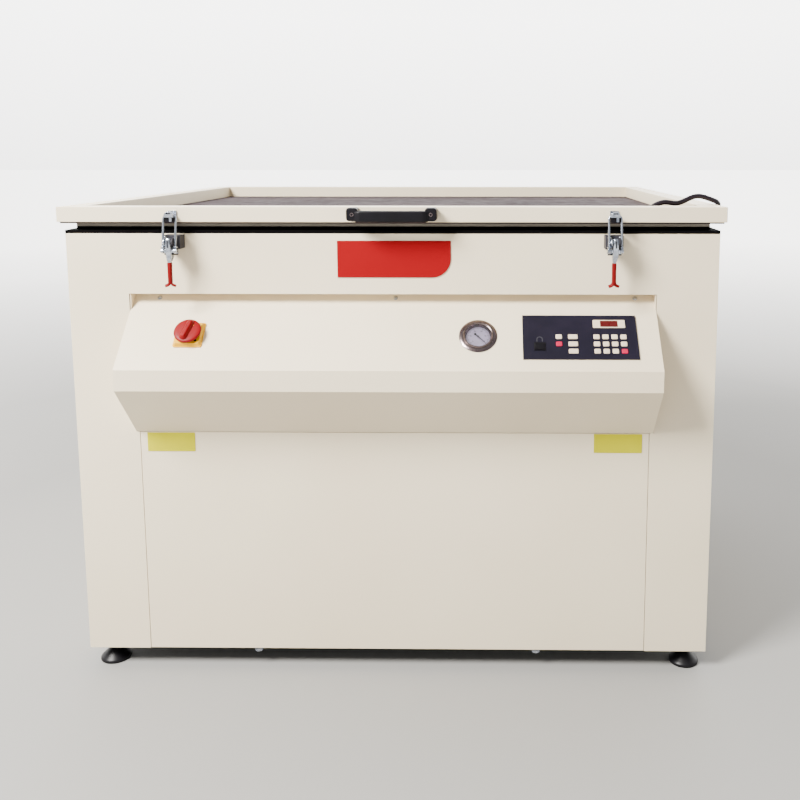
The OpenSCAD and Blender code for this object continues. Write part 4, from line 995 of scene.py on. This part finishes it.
# The blade from above the pin down to the grip: level, lean to the right, half width, back, front
BLADE = ((8, 0, 3.6, -51, -42), (4, 0, 5.2, -53.5, -39), (-8, 0.2, 5.4, -54, -37.5),
         (-19, 0.4, 5.6, -52.5, -35.5), (-27, 0, 6, -50, -34.2), (-30, -0.2, 6, -49, -30),
         (-37, -0.8, 5, -47, -31), (-42, -1.4, 3.6, -45.4, -34), (-46, -1.6, 2.8, -44, -36))
# The grip down to its fork: share of its length, half width, depth
GRIP = ((0, 4.0, 9.4), (0.03, 4.7, 10.4), (0.5, 4.4, 9.8), (0.9, 4.4, 9.8), (1, 3.7, 9))
GRIP_TOP, FORK_Z = LATCH_Z - 43, 878.5
PRONG = ((0.9, 882.5), (2.6, 878.6), (6, 875.8), (11, 874))


def make_lever(name, x):
    """Latch lever: a formed blade that curves down to the red dipped grip, whose end forks low
    and wide."""
    body = "lever_" + name
    blade = Shape()
    blade.block((x - 9, LATCH_Y - 4, THROW_Z - 4), (x + 9, LATCH_Y + 3, THROW_Z + 4), 1.4)
    sections = []
    for z, lean, half, y0, y1 in BLADE:
        corner = min(2.4, half * 0.9)
        sections.append([(x + lean + a, (y0 + y1) / 2 + b, LATCH_Z + z)
                         for a, b in round_outline(2 * half, y1 - y0, corner, 3)])
    blade.loft(sections)
    blade.rod((x - 15.6, LATCH_Y, THROW_Z), (x + 15.6, LATCH_Y, THROW_Z), 2.4)
    for side in (-1, 1):
        blade.turned([(0, 0), (4.2, 0), (4.2, 1.0), (3.4, 1.6), (0, 1.6)],
                     aimed((x + side * 15.2, LATCH_Y, THROW_Z),
                           (x + side * 30, LATCH_Y, THROW_Z)), 24)
    blade.finish("lever_blade_" + name, body, ZINC, [body], "zinc_plate", 45)
    # A thin charcoal sheet stands for the slot in the hub: painted shade
    slot = Shape().slab(round_outline(3.2, 15, 1.5), 0, 0.6, 0, 1,
                        at(x + 0.4, -53.6, LATCH_Z - 4) @ turn(90))
    slot.finish("lever_slot_" + name, body, CHARCOAL)
    mid_x, mid_y = x - 1.5, -40.5
    grip = Shape().loft([[(mid_x + a, mid_y + b, GRIP_TOP + (FORK_Z - GRIP_TOP) * share)
                          for a, b in round_outline(2 * half, deep, 3.2, 4)]
                         for share, half, deep in GRIP])
    for side in (-1, 1):
        path = smooth_route([(mid_x + side * a, mid_y, z) for a, z in PRONG], 1.2)
        grip.tube(path, [2.7 - 0.5 * i / len(path) for i in range(len(path))], 14, 1.7)
    grip.finish("lever_grip_" + name, body, GRIP_RED, slot="red_plastic", smooth=50)


def make_bolt(name, x):
    """U bolt: threaded legs through the eyes with nuts, and a round-cornered loop over the hook."""
    foot, top = Vector((0, LATCH_Y, THROW_Z)), Vector((0, BOLT_Y, BOLT_Z))
    way, length = (top - foot).normalized(), (top - foot).length
    bend = 9.0
    inner, level = BOLT_HALF - bend, length - bend
    loop = [(-BOLT_HALF, 20), (-BOLT_HALF, level - 4), *arc((-inner, level), bend, 180, 90),
            *arc((inner, level), bend, 90, 0), (BOLT_HALF, level - 4), (BOLT_HALF, 20)]
    shape = Shape().tube([Vector((x + a, 0, 0)) + foot + way * b for a, b in loop], BOLT_R, 18)
    for side in (-1, 1):
        leg = Vector((x + side * BOLT_HALF, 0, 0)) + foot
        shape.thread(leg + way * 4, leg + way * 21, BOLT_R, 0.8, 0.35, 14)
        shape.nut(leg + way * 6.2, leg + way * 9.4, 8)
        shape.turned(hoop(BOLT_R + 0.05, 5, -2.3, 2.3), Matrix.Translation(leg) @ turn(90, "Y"), 28)
    shape.finish("u_bolt_" + name, "bolt_" + name, ZINC, ["bolt_" + name], "zinc_plate", 45)


# Hinges and gas struts

HINGE_XS = (-480, 0, 480)
STRUT_X = 717.0
STRUT_LOW, STRUT_TOP = (1040, 635), (930, 993)  # Y and Z of the pivots, with the lid shut


def make_hinges():
    """Hinge blocks and straps with their bolts, and the screws of the strut plates."""
    softened("hinge_blocks", "rear_brackets", "cabinet", CHARCOAL, 0.8, "dark_steel", 2)
    softened("hinge_straps", "lid_brackets", "lid", CHARCOAL, 0.6, "dark_steel", 2)
    heads = [((x + dx, REAR_Y + 6, 925), BACK) for x in HINGE_XS for dx in (-26, 26)]
    screws("hinge_bolts", "cabinet", heads, 6.5, 5, across_flats=10)
    straps = [((x + dx, LID_BACK + 3, RAIL_LOW + 22), BACK) for x in HINGE_XS for dx in (-15, 15)]
    screws("strap_bolts", "lid", straps, 5.5, 4.5, across_flats=8)
    y, z = STRUT_LOW
    plates = [((side * (CAB_HALF + 3), y + dy, z + dz), (side, 0, 0)) for side in (-1, 1)
              for dy, dz in ((-10, 18), (10, 18), (-10, -18), (10, -18))]
    screws("strut_plate_screws", "cabinet", plates, 3.6, 2.2)


def make_strut(name, side):
    """Gas strut: painted tube with a rolled end and an eye, and a polished rod with its own eye."""
    x = side * STRUT_X
    low, top = Vector((x, *STRUT_LOW)), Vector((x, *STRUT_TOP))
    way = (top - low).normalized()
    end = 264.0
    profile = [(0, 14), (7, 14), (8.7, 16), (9, 18), (9, end - 6), (8.6, end - 2), (7.4, end),
               (4.7, end), (4.7, 24), (0, 24)]
    eye = [(8.4, -5), (9, -4.2), (9, 4.2), (8.4, 5)]
    tube = Shape().turned(profile, aimed(low, low + way), 40)
    tube.rod(low + way * 4, low + way * 16, 5.5)
    tube.turned([(4.1, -5), *eye, (4.1, 5), (4.1, -5)], Matrix.Translation(low) @ turn(90, "Y"), 36)
    body = "strut_tube_" + name
    tube.finish("strut_cylinder_" + name, body, BLACK_NYLON, [body], "dark_steel")
    rod = Shape().rod(low + way * 28, top - way * 6, 4.5)
    rod.turned([(0, -5), *eye, (0, 5)], Matrix.Translation(top) @ turn(90, "Y"), 36)
    rod.nut(top - way * 16, top - way * 8, 11)
    rod.rod(top, top - Vector((side * 13.5, 0, 0)), 4)
    body = "strut_rod_" + name
    rod.finish("strut_piston_" + name, body, STAINLESS, [body], "bright_steel")


# Console

KNOB_LEAN = -14


def make_main_switch():
    """Rotary isolator: a stepped yellow base with a black disc, painted shade, for its lock hole,
    and a red knob on a neck with a leaning grip."""
    low, high = span("switch_plate")
    place = on_slope((low.x + high.x) / 2, SLOPE_MID)
    plate = Shape().slab(round_outline(60, 60, 4), 0, 3, 0.6, 3, place)
    plate.loft([[place @ Vector((a, b, z)) for a, b in round_outline(side, side, 4)]
                for z, side in ((2.6, 57.5), (4, 56.5), (8.6, 52.2), (9.7, 50.8), (10, 49.4))])
    plate.finish("isolator_base", "cabinet", SIGNAL_YELLOW, ["switch_plate"], "yellow_plate", 30)
    # A black disc stands for the lock hole: painted shade
    hole = Shape().turned(disc(2.8, 9.6, 10.15), place @ at(18, -18.5, 0), 24)
    hole.finish("isolator_lock_hole", "cabinet", BLACK_NYLON)
    knob = Shape().turned([
        (0, 10.4), (20.5, 10.4), (21, 13.6), (26.4, 14.2), (27.7, 15), (28.2, 16.4), (28.2, 18),
        (27.3, 19.6), (24.6, 20.7), (19, 21.2), (0, 21.6)], place, 72)
    grip = place @ turn(KNOB_LEAN, "Z")
    knob.loft([[grip @ Vector((a, b, z)) for a, b in round_outline(2 * half, length, half * 0.9, 6)]
               for z, length, half in ((18, 50, 10), (21, 48, 8.6), (24, 45, 6.6), (27, 41, 4.4),
                                       (28.2, 38, 3.2), (28.6, 36, 2))])
    knob.finish("isolator_knob", "switch_knob", KNOB_RED, ["switch_knob"], "red_plastic", 45)
    mark = Shape().slab(round_outline(5, 2, 0.9), 21, 21.5, 0.1, 1,
                        place @ turn(-40, "Z") @ at(0, 16, 0))
    mark.finish("knob_mark", "switch_knob", SIGNAL_YELLOW)
    # A black disc stands for the pit in the grip: painted shade of its hollow
    pit = Shape().turned(disc(1.3, 28, 28.6), grip @ at(0, 5, 0), 20)
    pit.finish("knob_pit", "switch_knob", PRINT_BLACK)


GAUGE_X = 183.0
DIAL_FIRST, DIAL_SWEEP = math.radians(225), -math.radians(270)
DIAL_STEPS, DIAL_UNITS = 5, 20
TICK_R, NUMBER_R, NUMBER_SIZE = 22.4, 15.4, 3.8
DIAL_FACE = -3
NEEDLE_REST = -44


def number(text, size):
    """A flat number, as a mesh in local XY."""
    data = bpy.data.curves.new("number", "FONT")
    data.body = text
    data.size = size
    data.extrude = 0.1
    data.align_x = "CENTER"
    data.align_y = "CENTER"
    thing = bpy.data.objects.new("number", data)
    bpy.context.scene.collection.objects.link(thing)
    seen = bpy.context.evaluated_depsgraph_get()
    made = bpy.data.meshes.new_from_object(thing.evaluated_get(seen))
    bpy.data.objects.remove(thing)
    return made


def make_gauge():
    """Vacuum gauge: wide rolled bezel, sunk lilac dial with ticks and numbers, and the needle."""
    place = on_slope(GAUGE_X, SLOPE_MID)
    bezel = Shape().turned([(31, 0.2), (31.2, 3.4), (32.4, 3.9), (36.4, 2.9), (39.2, 1.8), (40, 1),
                            (39.8, 0.2), (31, 0.2)], place, 96)
    bezel.turned(disc(31, -38, -3.6), place, 72)
    bezel.finish("gauge_bezel", "cabinet", BEZEL_STEEL, ["gauge_case"], "bright_steel", 50)
    rim = Shape().turned([
        (24.2, -3.6), (24.2, -2.8), (27.4, 4), (28.4, 5.4), (29.6, 5.8), (30.8, 5), (31.2, 3),
        (31, 0.2), (31, -3.6), (24.2, -3.6)], place, 96)
    rim.finish("gauge_rim", "cabinet", BEZEL_STEEL, smooth=50)
    lens = Shape().turned([(0, 3.4), (26.9, 3.2), (27.1, 3.7), (0, 4.2)], place, 72)
    lens.finish("gauge_glass", "cabinet", LENS_GLASS, ["gauge_lens"], "glass")
    dial = Shape().turned(disc(24.1, DIAL_FACE - 0.5, DIAL_FACE), place, 72)
    dial.finish("gauge_dial", "cabinet", DIAL_LILAC)
    marks = Shape()
    for count, length, half in ((11, 3.4, 0.4), (51, 1.9, 0.2)):
        tick = Shape().block((-length, -half, 0), (0, half, 0.12), 0, 1).mesh("tick")
        ticks = grow(RING, tick, PRINT_BLACK, Count=count, Radius=TICK_R, First=DIAL_FIRST,
                     Step=DIAL_SWEEP / (count - 1))
        marks.add(ticks, place @ at(0, 0, DIAL_FACE + 0.02))
    for i in range(DIAL_STEPS + 1):
        a = DIAL_FIRST + DIAL_SWEEP * i / DIAL_STEPS
        spot = at(NUMBER_R * math.cos(a), NUMBER_R * math.sin(a), DIAL_FACE + 0.1)
        marks.add(number(str(DIAL_UNITS * i), NUMBER_SIZE), place @ spot)
    marks.turned(hoop(22.6, 23, DIAL_FACE + 0.02, DIAL_FACE + 0.14), place, 72)
    marks.finish("gauge_marks", "cabinet", PRINT_BLACK)
    along = place @ turn(NEEDLE_REST, "Z")
    needle = Shape()
    needle.turned([(0, -2.8), (1.2, -2.8), (1.2, 0), (2, 0), (1.8, 0.5), (0, 0.6)], along, 28)
    needle.slab([(-8.5, -1.2), (2, -1), (20, -0.3), (20, 0.3), (2, 1), (-8.5, 1.2)], -1.6, -0.8,
                0.15, 1, along)
    needle.turned(disc(2.6, -1.6, -0.8), along @ at(-8.5, 0, 0), 24)
    needle.finish("gauge_pointer", "gauge_needle", PRINT_BLACK, ["gauge_needle"], "black_plastic")


PANEL_X, PANEL_S, PANEL_THICK = 394.5, 82.0, 3
KEY_HIGH, KEY_WIDE, WIDE_KEY = 11.2, 12.8, 19.7
KEY_COLUMNS, KEY_ROWS = (34.1, 52.7, 71.3, 89.9), (0, -17.6, -35.2)
START_X, WIDE_X = -44, -15
# The rocker's opening in the overlay, and the rocker's pin
SLOT_LEFT, SLOT_RIGHT, SLOT_LOW, SLOT_HIGH = -94.6, -73.4, -32.9, -15.1
ROCKER_X, ROCKER_Y = -84, -24


def domed_keys(name, material, places, width):
    """Embossed keys with rounded corners, as copies on points of the overlay."""
    outline = round_outline(width, KEY_HIGH, 2.2, 5)
    levels = []
    for z, shrink in ((0, 0), (0.9, 0.1), (1.35, 0.7), (1.5, 1.8)):
        a, b = (width - 2 * shrink) / width, (KEY_HIGH - 2 * shrink) / KEY_HIGH
        levels.append([(x * a, y * b, z) for x, y in outline])
    cap = Shape().loft(levels).mesh("key", 50)
    keys = on_points(cap, material, [((x, y, 0), UP) for x, y in places])
    row = Shape().add(keys, on_slope(PANEL_X, PANEL_S, PANEL_THICK))
    row.finish(name, "cabinet", material, smooth=50)


def make_keypad():
    """Bare overlay with a ribbed display frame, a red window and rows of embossed keys, and the
    rocker under its pale arch."""
    place = on_slope(PANEL_X, PANEL_S)
    left, right, foot, top = -119, 119, -54, 54
    overlay = Shape()
    for low_x, high_x, low_y, high_y in (
            (left, SLOT_LEFT, foot, top), (SLOT_RIGHT, right, foot, top),
            (SLOT_LEFT, SLOT_RIGHT, SLOT_HIGH, top), (SLOT_LEFT, SLOT_RIGHT, foot, SLOT_LOW)):
        overlay.block((low_x, low_y, 0), (high_x, high_y, PANEL_THICK), 0.0, 1, place)
    overlay.rod(place @ Vector((-95.5, ROCKER_Y, 1.5)), place @ Vector((-72.5, ROCKER_Y, 1.5)), 1.1)
    overlay.finish("keypad_overlay", "cabinet", OVERLAY_NAVY, ["control_panel"], "navy_overlay")
    pad = [(x, y) for y in KEY_ROWS for x in KEY_COLUMNS]
    domed_keys("number_keys", KEY_CREAM, pad[:-1] + [(START_X, KEY_ROWS[0])], KEY_WIDE)
    domed_keys("red_keys", KEY_RED, [pad[-1], (START_X, KEY_ROWS[1])], KEY_WIDE)
    domed_keys("wide_keys", KEY_CREAM, [(WIDE_X, y) for y in KEY_ROWS], WIDE_KEY)
    display = place @ at(62, 32, 0)
    window = Shape().slab(round_outline(67, 19.6, 2), 3, 4, 0.3, 2, display)
    for x in (-30, -27, -24, 24, 27, 30):
        window.block((x - 0.7, -6, 3.9), (x + 0.7, 6, 4.7), 0.25, 1, display)
    window.finish("display_frame", "cabinet", KEY_CREAM)
    glass = Shape().slab(round_outline(37, 15.4, 1), 4, 4.5, 0.2, 2, display)
    glass.finish("display_window", "cabinet", DISPLAY_RED)
    # Rocker: two slopes that meet at the pin, over the opening of the overlay
    on_pin = on_slope(PANEL_X + ROCKER_X, PANEL_S + ROCKER_Y, 1.5) @ turn(8)
    side_view = [(-7, -6), (7, -6), (7, 4.4), (3.5, 3.4), (0, 3.0), (-3.5, 3.4), (-7, 4.4)]
    rocker = Shape().slab(side_view, -10.2, 10.2, 0.6, 3, on_pin @ IN_SIDE_VIEW)
    rocker.finish("rocker_cap", "rocker_switch", BLACK_NYLON, ["rocker_switch"], "black_plastic")
    bezel = Shape()
    for x0, y0, x1, y1 in ((-96, -16.2, -72, -14), (-96, -34, -72, -31.8), (-96, -34, -94, -14),
                           (-74, -34, -72, -14)):
        bezel.block((x0, y0, 2.6), (x1, y1, 4), 0.4, 2, place)
    bezel.finish("rocker_bezel", "cabinet", BLACK_NYLON)
    middle, outer, inner, arch_foot = (ROCKER_X, -6), 6.6, 4.6, -12
    bow = [(ROCKER_X + outer, arch_foot), *arc(middle, outer, 0, 180, 12),
           (ROCKER_X - outer, arch_foot), (ROCKER_X - inner, arch_foot),
           *arc(middle, inner, 180, 0, 12), (ROCKER_X + inner, arch_foot)]
    Shape().slab(bow, 2.9, 3.2, 0, 1, place).finish("rocker_arch", "cabinet", SPACER_GREY)


# Rear and inside

FAN_X, FAN_Z = -300.0, 300.0
FAN_HOUSING_DEEP = 50
COLLAR_INNER, COLLAR_R = 73.8, 75


def on_back(x, z, out=0.0):
    """Local X to the right, Y down and Z straight out of the back, from the rear panel."""
    return at(x, REAR_Y + out, z) @ turn(-90)


def sector(k):
    """A quarter of the collar's square flange: its corner outside, an arc of the bore inside."""
    half = 90.0
    outline = [(half, 0), (half, half), (0, half), *arc((0, 0), COLLAR_R - 0.5, 90, 0, 18)]
    c, s = (1, 0, -1, 0)[k], (0, 1, 0, -1)[k]
    return [(a * c - b * s, a * s + b * c) for a, b in outline]


def make_fan():
    """Fan rotor with pitched blades, a wire guard behind it, and the collar for the duct."""
    inside = -SHEET - FAN_HOUSING_DEEP
    place = on_back(FAN_X, FAN_Z, inside + 14.3)
    rows = []
    for r, pitch, half in ((29, 38, 13), (50, 33, 15), (75, 28, 16), (94, 24, 15)):
        c, s = math.cos(math.radians(pitch)), math.sin(math.radians(pitch))
        section = ((-half, -0.4), (0, 1.2), (half, -0.4), (half, 0.4), (0, 2.4), (-half, 0.4))
        rows.append([(r, a * c - b * s, 12 + a * s * 0.75 + b * c) for a, b in section])
    blade = Shape().loft(rows).mesh("blade", 60)
    rotor = Shape().add(ring_of(blade, BLACK_NYLON, 7), place)
    rotor.turned([(4.1, 0), (31, 0), (32, 1), (32, 21), (30, 24), (12, 24), (10, 22.5), (0, 22.5),
                  (0, 21), (4.1, 21), (4.1, 0)], place, 56)
    rotor.finish("fan_impeller", "fan_rotor", BLACK_NYLON, ["fan_rotor"], "black_plastic", 50)
    length = span("exhaust_spigot")[1].y - REAR_Y
    back = on_back(FAN_X, FAN_Z)
    bead = COLLAR_R + 1.2
    collar = Shape().turned([
        (COLLAR_INNER, -1), (COLLAR_R, -1), (COLLAR_R, length - 9), (bead, length - 7.6),
        (bead, length - 5.6), (COLLAR_R, length - 4.2), (COLLAR_R, length - 0.4), (74.6, length),
        (COLLAR_INNER, length), (COLLAR_INNER, -1)], back, 96)
    for k in range(4):
        collar.slab(sector(k), 0, 1.5, 0.0, 1, back)
    collar.finish("duct_collar", "cabinet", GALVANISED, ["exhaust_spigot"], "zinc_plate")
    heads = [((FAN_X + dx, REAR_Y + 1.5, FAN_Z + dz), BACK) for dx in (-78, 78) for dz in (-78, 78)]
    screws("collar_screws", "cabinet", heads, 4, 2.2)
    guard = Shape()
    for r in (22, 38, 54, 70):
        guard.turned([(r - 1, 47.5), (r, 46.5), (r + 1, 47.5), (r, 48.5), (r - 1, 47.5)],
                     on_back(FAN_X, FAN_Z, inside), 64)
    spoke = Shape().rod((10, 0, 0), (73.6, 0, 0), 1.1, 0.2, 10).mesh("spoke")
    spokes = grow(RING, spoke, ZINC, Count=4, Radius=0.0, First=math.pi / 4, Step=math.pi / 2)
    guard.add(spokes, on_back(FAN_X, FAN_Z, -4.6))
    guard.finish("fan_guard", "cabinet", ZINC)


def make_gland():
    """Nylon cable gland: hexagon body, ribbed dome nut and an empty cable hole."""
    back = on_back(-560.0, 175.0)
    shape = Shape().turned([(7, -12), (12.3, -12), (12.3, 8), (14, 8.5), (14, 20), (12.6, 23.6),
                            (9.6, 26), (7, 26), (7, -12)], back, 48)
    outline = arc((0, 0), 16.8, 0, 300, 5)
    shape.slab(outline, 0.05, 6, 0.8, 2, back)
    shape.slab(outline, -8, -SHEET - 0.05, 0.6, 2, back)
    rib = Shape().block((-0.6, -1.1, 0), (1.0, 1.1, 11), 0.3, 1).mesh("rib")
    shape.add(ring_of(rib, BLACK_NYLON, 16, 14.0), back @ at(0, 0, 8.6))
    shape.finish("cable_gland", "cabinet", BLACK_NYLON, ["mains_gland"], "black_plastic")


def make_lamp():
    """Quartz arc tube between two ceramic holders."""
    y, z, half = 560.0, 235.0, 95.0
    runs = (-half - 8, -half + 2, -half + 14, half - 14, half - 2, half + 8)
    tube = Shape().tube(smooth_route([(x, y, z) for x in runs], 6), 13, 28)
    tube.finish("arc_tube", "cabinet", QUARTZ, ["uv_lamp"], "glass", 60)
    ends = Shape()
    for side in (-1, 1):
        x = side * (half + 14)
        ends.block((x - 12, y - 18, 213.1), (x + 12, y + 18, 253), 2.0, 3)
        ends.turned([(0, 0), (9, 0), (9, 6), (5, 9), (0, 9)],
                    aimed((x - side * 12, y, z), (x - side * 30, y, z)), 28)
    ends.finish("lamp_holders", "cabinet", CERAMIC)


def make_pump():
    """Twin-head vacuum pump: finned motor body, two ribbed heads and rubber feet."""
    x, y, z, r = 430.0, 820.0, 165.0, 55.0
    floor_z = 87.0
    shape = Shape().rod((x - 80, y, z), (x + 80, y, z), r - 3, 3, 56)
    fin = Shape().block((-2.5, -1.1, -66), (2.8, 1.1, 66), 0.4, 1).mesh("fin")
    shape.add(ring_of(fin, CAST_ALUMINIUM, 30, r - 3), at(x, y, z) @ turn(90, "Y"))
    profile = [(0, z)]
    for i in range(9):
        level = z + 27 + 5.6 * i
        profile += [(24, level), (24, level + 2.4), (20.5, level + 2.9), (20.5, level + 5.1)]
    profile += [(24, z + r + 23), (23, z + r + 25), (0, z + r + 25)]
    for head_x in (x - 95, x + 95):
        shape.block((head_x - 26, y - 30, z - 26), (head_x + 26, y + 30, z + 26), 4, 3)
        shape.turned(profile, at(head_x, y, 0), 40)
    shape.finish("pump_body", "cabinet", CAST_ALUMINIUM, ["vacuum_pump"], "aluminium")
    feet = Shape()
    for foot_x in (x - 60, x + 60):
        feet.block((foot_x - 12, y - 60, floor_z), (foot_x + 12, y + 60, z - 44), 3, 3)
        feet.block((foot_x - 9, y - 28, z - 46), (foot_x + 9, y + 28, z - 30), 1, 2)
    feet.finish("pump_feet", "cabinet", BLACK_RUBBER)


def dress_cad_nodes():
    """Materials of the CAD nodes whose own shape shows."""
    for material, nodes in CAD_FINISHES.items():
        for node in nodes:
            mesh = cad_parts[node].data
            mesh.materials.clear()
            mesh.materials.append(material)
            mesh.shade_smooth()
            mesh.set_sharp_from_angle(angle=math.radians(30))


# Studio, in metres

SKY_TONE = (1.0, 0.99, 0.975, 1)
FLOOR_NEAR, FLOOR_FAR = "#93928F", "#F4F3F0"
FLOOR_HALF, FLOOR_DROP = 60.0, 0.0004
LIGHT_PLACE, LIGHT_AIM, LIGHT_TONE = (-2.2, -2.5, 3.3), (0, -0.4, 0.75), (1, 0.975, 0.94)
LIGHT_WIDE, LIGHT_WATTS = 1.5, 660
FLOOR_FADE = (1.5, 7)
# Where each measure starts and ends, and what it gives there
SKY_TO_BACK, SKY_UP = (-0.1, 0.9, 0.62, 6.0), (-0.03, 0.14, 0.7, 1.0)
HAZE_TO_BACK, HAZE_AWAY = (0.2, 0.95, 0, 3.2), (2.5, 10, 0, 1)


def graded_product(tree, *measures):
    """Product of two measures, each taken from its own range to another."""
    factors = {}
    for place, (source, grade) in enumerate(measures):
        ends = dict(zip(("From Min", "From Max", "To Min", "To Max"), grade))
        graded = add_node(tree, "ShaderNodeMapRange", {"Value": source, **ends})
        factors[place] = graded.outputs["Result"]
    return add_node(tree, "ShaderNodeMath", factors, operation="MULTIPLY").outputs["Value"]


def make_backdrop():
    """Air that is bright behind the unit and softer in front of it, where it lights the console."""
    world = bpy.data.worlds.new("studio")
    world.use_nodes = True
    tree = world.node_tree
    backdrop = tree.nodes["Background"]
    backdrop.inputs["Color"].default_value = SKY_TONE
    way = add_node(tree, "ShaderNodeTexCoord").outputs["Generated"]
    axes = add_node(tree, "ShaderNodeSeparateXYZ", {"Vector": way}).outputs
    glow = graded_product(tree, (axes["Y"], SKY_TO_BACK), (axes["Z"], SKY_UP))
    tree.links.new(glow, backdrop.inputs["Strength"])
    bpy.context.scene.world = world


def make_floor():
    """Plain floor, mid grey near the unit and paler far away. Behind the unit it glows as much as
    the backdrop does, so that no line shows where they meet in the photograph's view."""
    material, tree, shader = new_material("studio_floor", Roughness=0.75, Specular_IOR_Level=0.2)
    place = add_node(tree, "ShaderNodeTexCoord").outputs["Object"]
    away = add_node(tree, "ShaderNodeVectorMath", {0: place}, operation="LENGTH").outputs["Value"]
    vary(tree, shader, "Base Color", away, colour(FLOOR_NEAR), colour(FLOOR_FAR), FLOOR_FADE)
    way = add_node(tree, "ShaderNodeVectorMath", {0: place}, operation="NORMALIZE").outputs[0]
    behind = add_node(tree, "ShaderNodeSeparateXYZ", {"Vector": way}).outputs["Y"]
    haze = graded_product(tree, (away, HAZE_AWAY), (behind, HAZE_TO_BACK))
    shader.inputs["Emission Color"].default_value = SKY_TONE
    tree.links.new(haze, shader.inputs["Emission Strength"])
    mesh = bpy.data.meshes.new("floor")
    corners = [(a * FLOOR_HALF, b * FLOOR_HALF, -FLOOR_DROP)
               for a, b in ((-1, -1), (1, -1), (1, 1), (-1, 1))]
    mesh.from_pydata(corners, [], [(0, 1, 2, 3)])
    mesh.materials.append(material)
    floor = bpy.data.objects.new("floor", mesh)
    bpy.context.scene.collection.objects.link(floor)


def make_key_light():
    """One round key light, from the upper left in front."""
    data = bpy.data.lights.new("key", "AREA")
    data.shape = "DISK"
    data.size = LIGHT_WIDE
    data.energy = LIGHT_WATTS
    data.color = LIGHT_TONE
    light = bpy.data.objects.new("key", data)
    light.location = LIGHT_PLACE
    run = Vector(LIGHT_AIM) - Vector(LIGHT_PLACE)
    light.rotation_euler = run.to_track_quat("-Z", "Y").to_euler()
    bpy.context.scene.collection.objects.link(light)


add_camera()
make_hoses()
make_panels()
make_louvres()
make_screws()
make_feet()
make_plates()
make_blanket()
make_port()
make_clips()
make_handle()
make_catches()
make_latch_bases()
for latch_name, latch_x in zip(("left", "right"), LATCH_XS):
    make_lever(latch_name, latch_x)
    make_bolt(latch_name, latch_x)
make_hinges()
make_strut("left", -1)
make_strut("right", 1)
make_main_switch()
make_gauge()
make_keypad()
make_fan()
make_gland()
make_lamp()
make_pump()
dress_cad_nodes()
make_backdrop()
make_floor()
make_key_light()
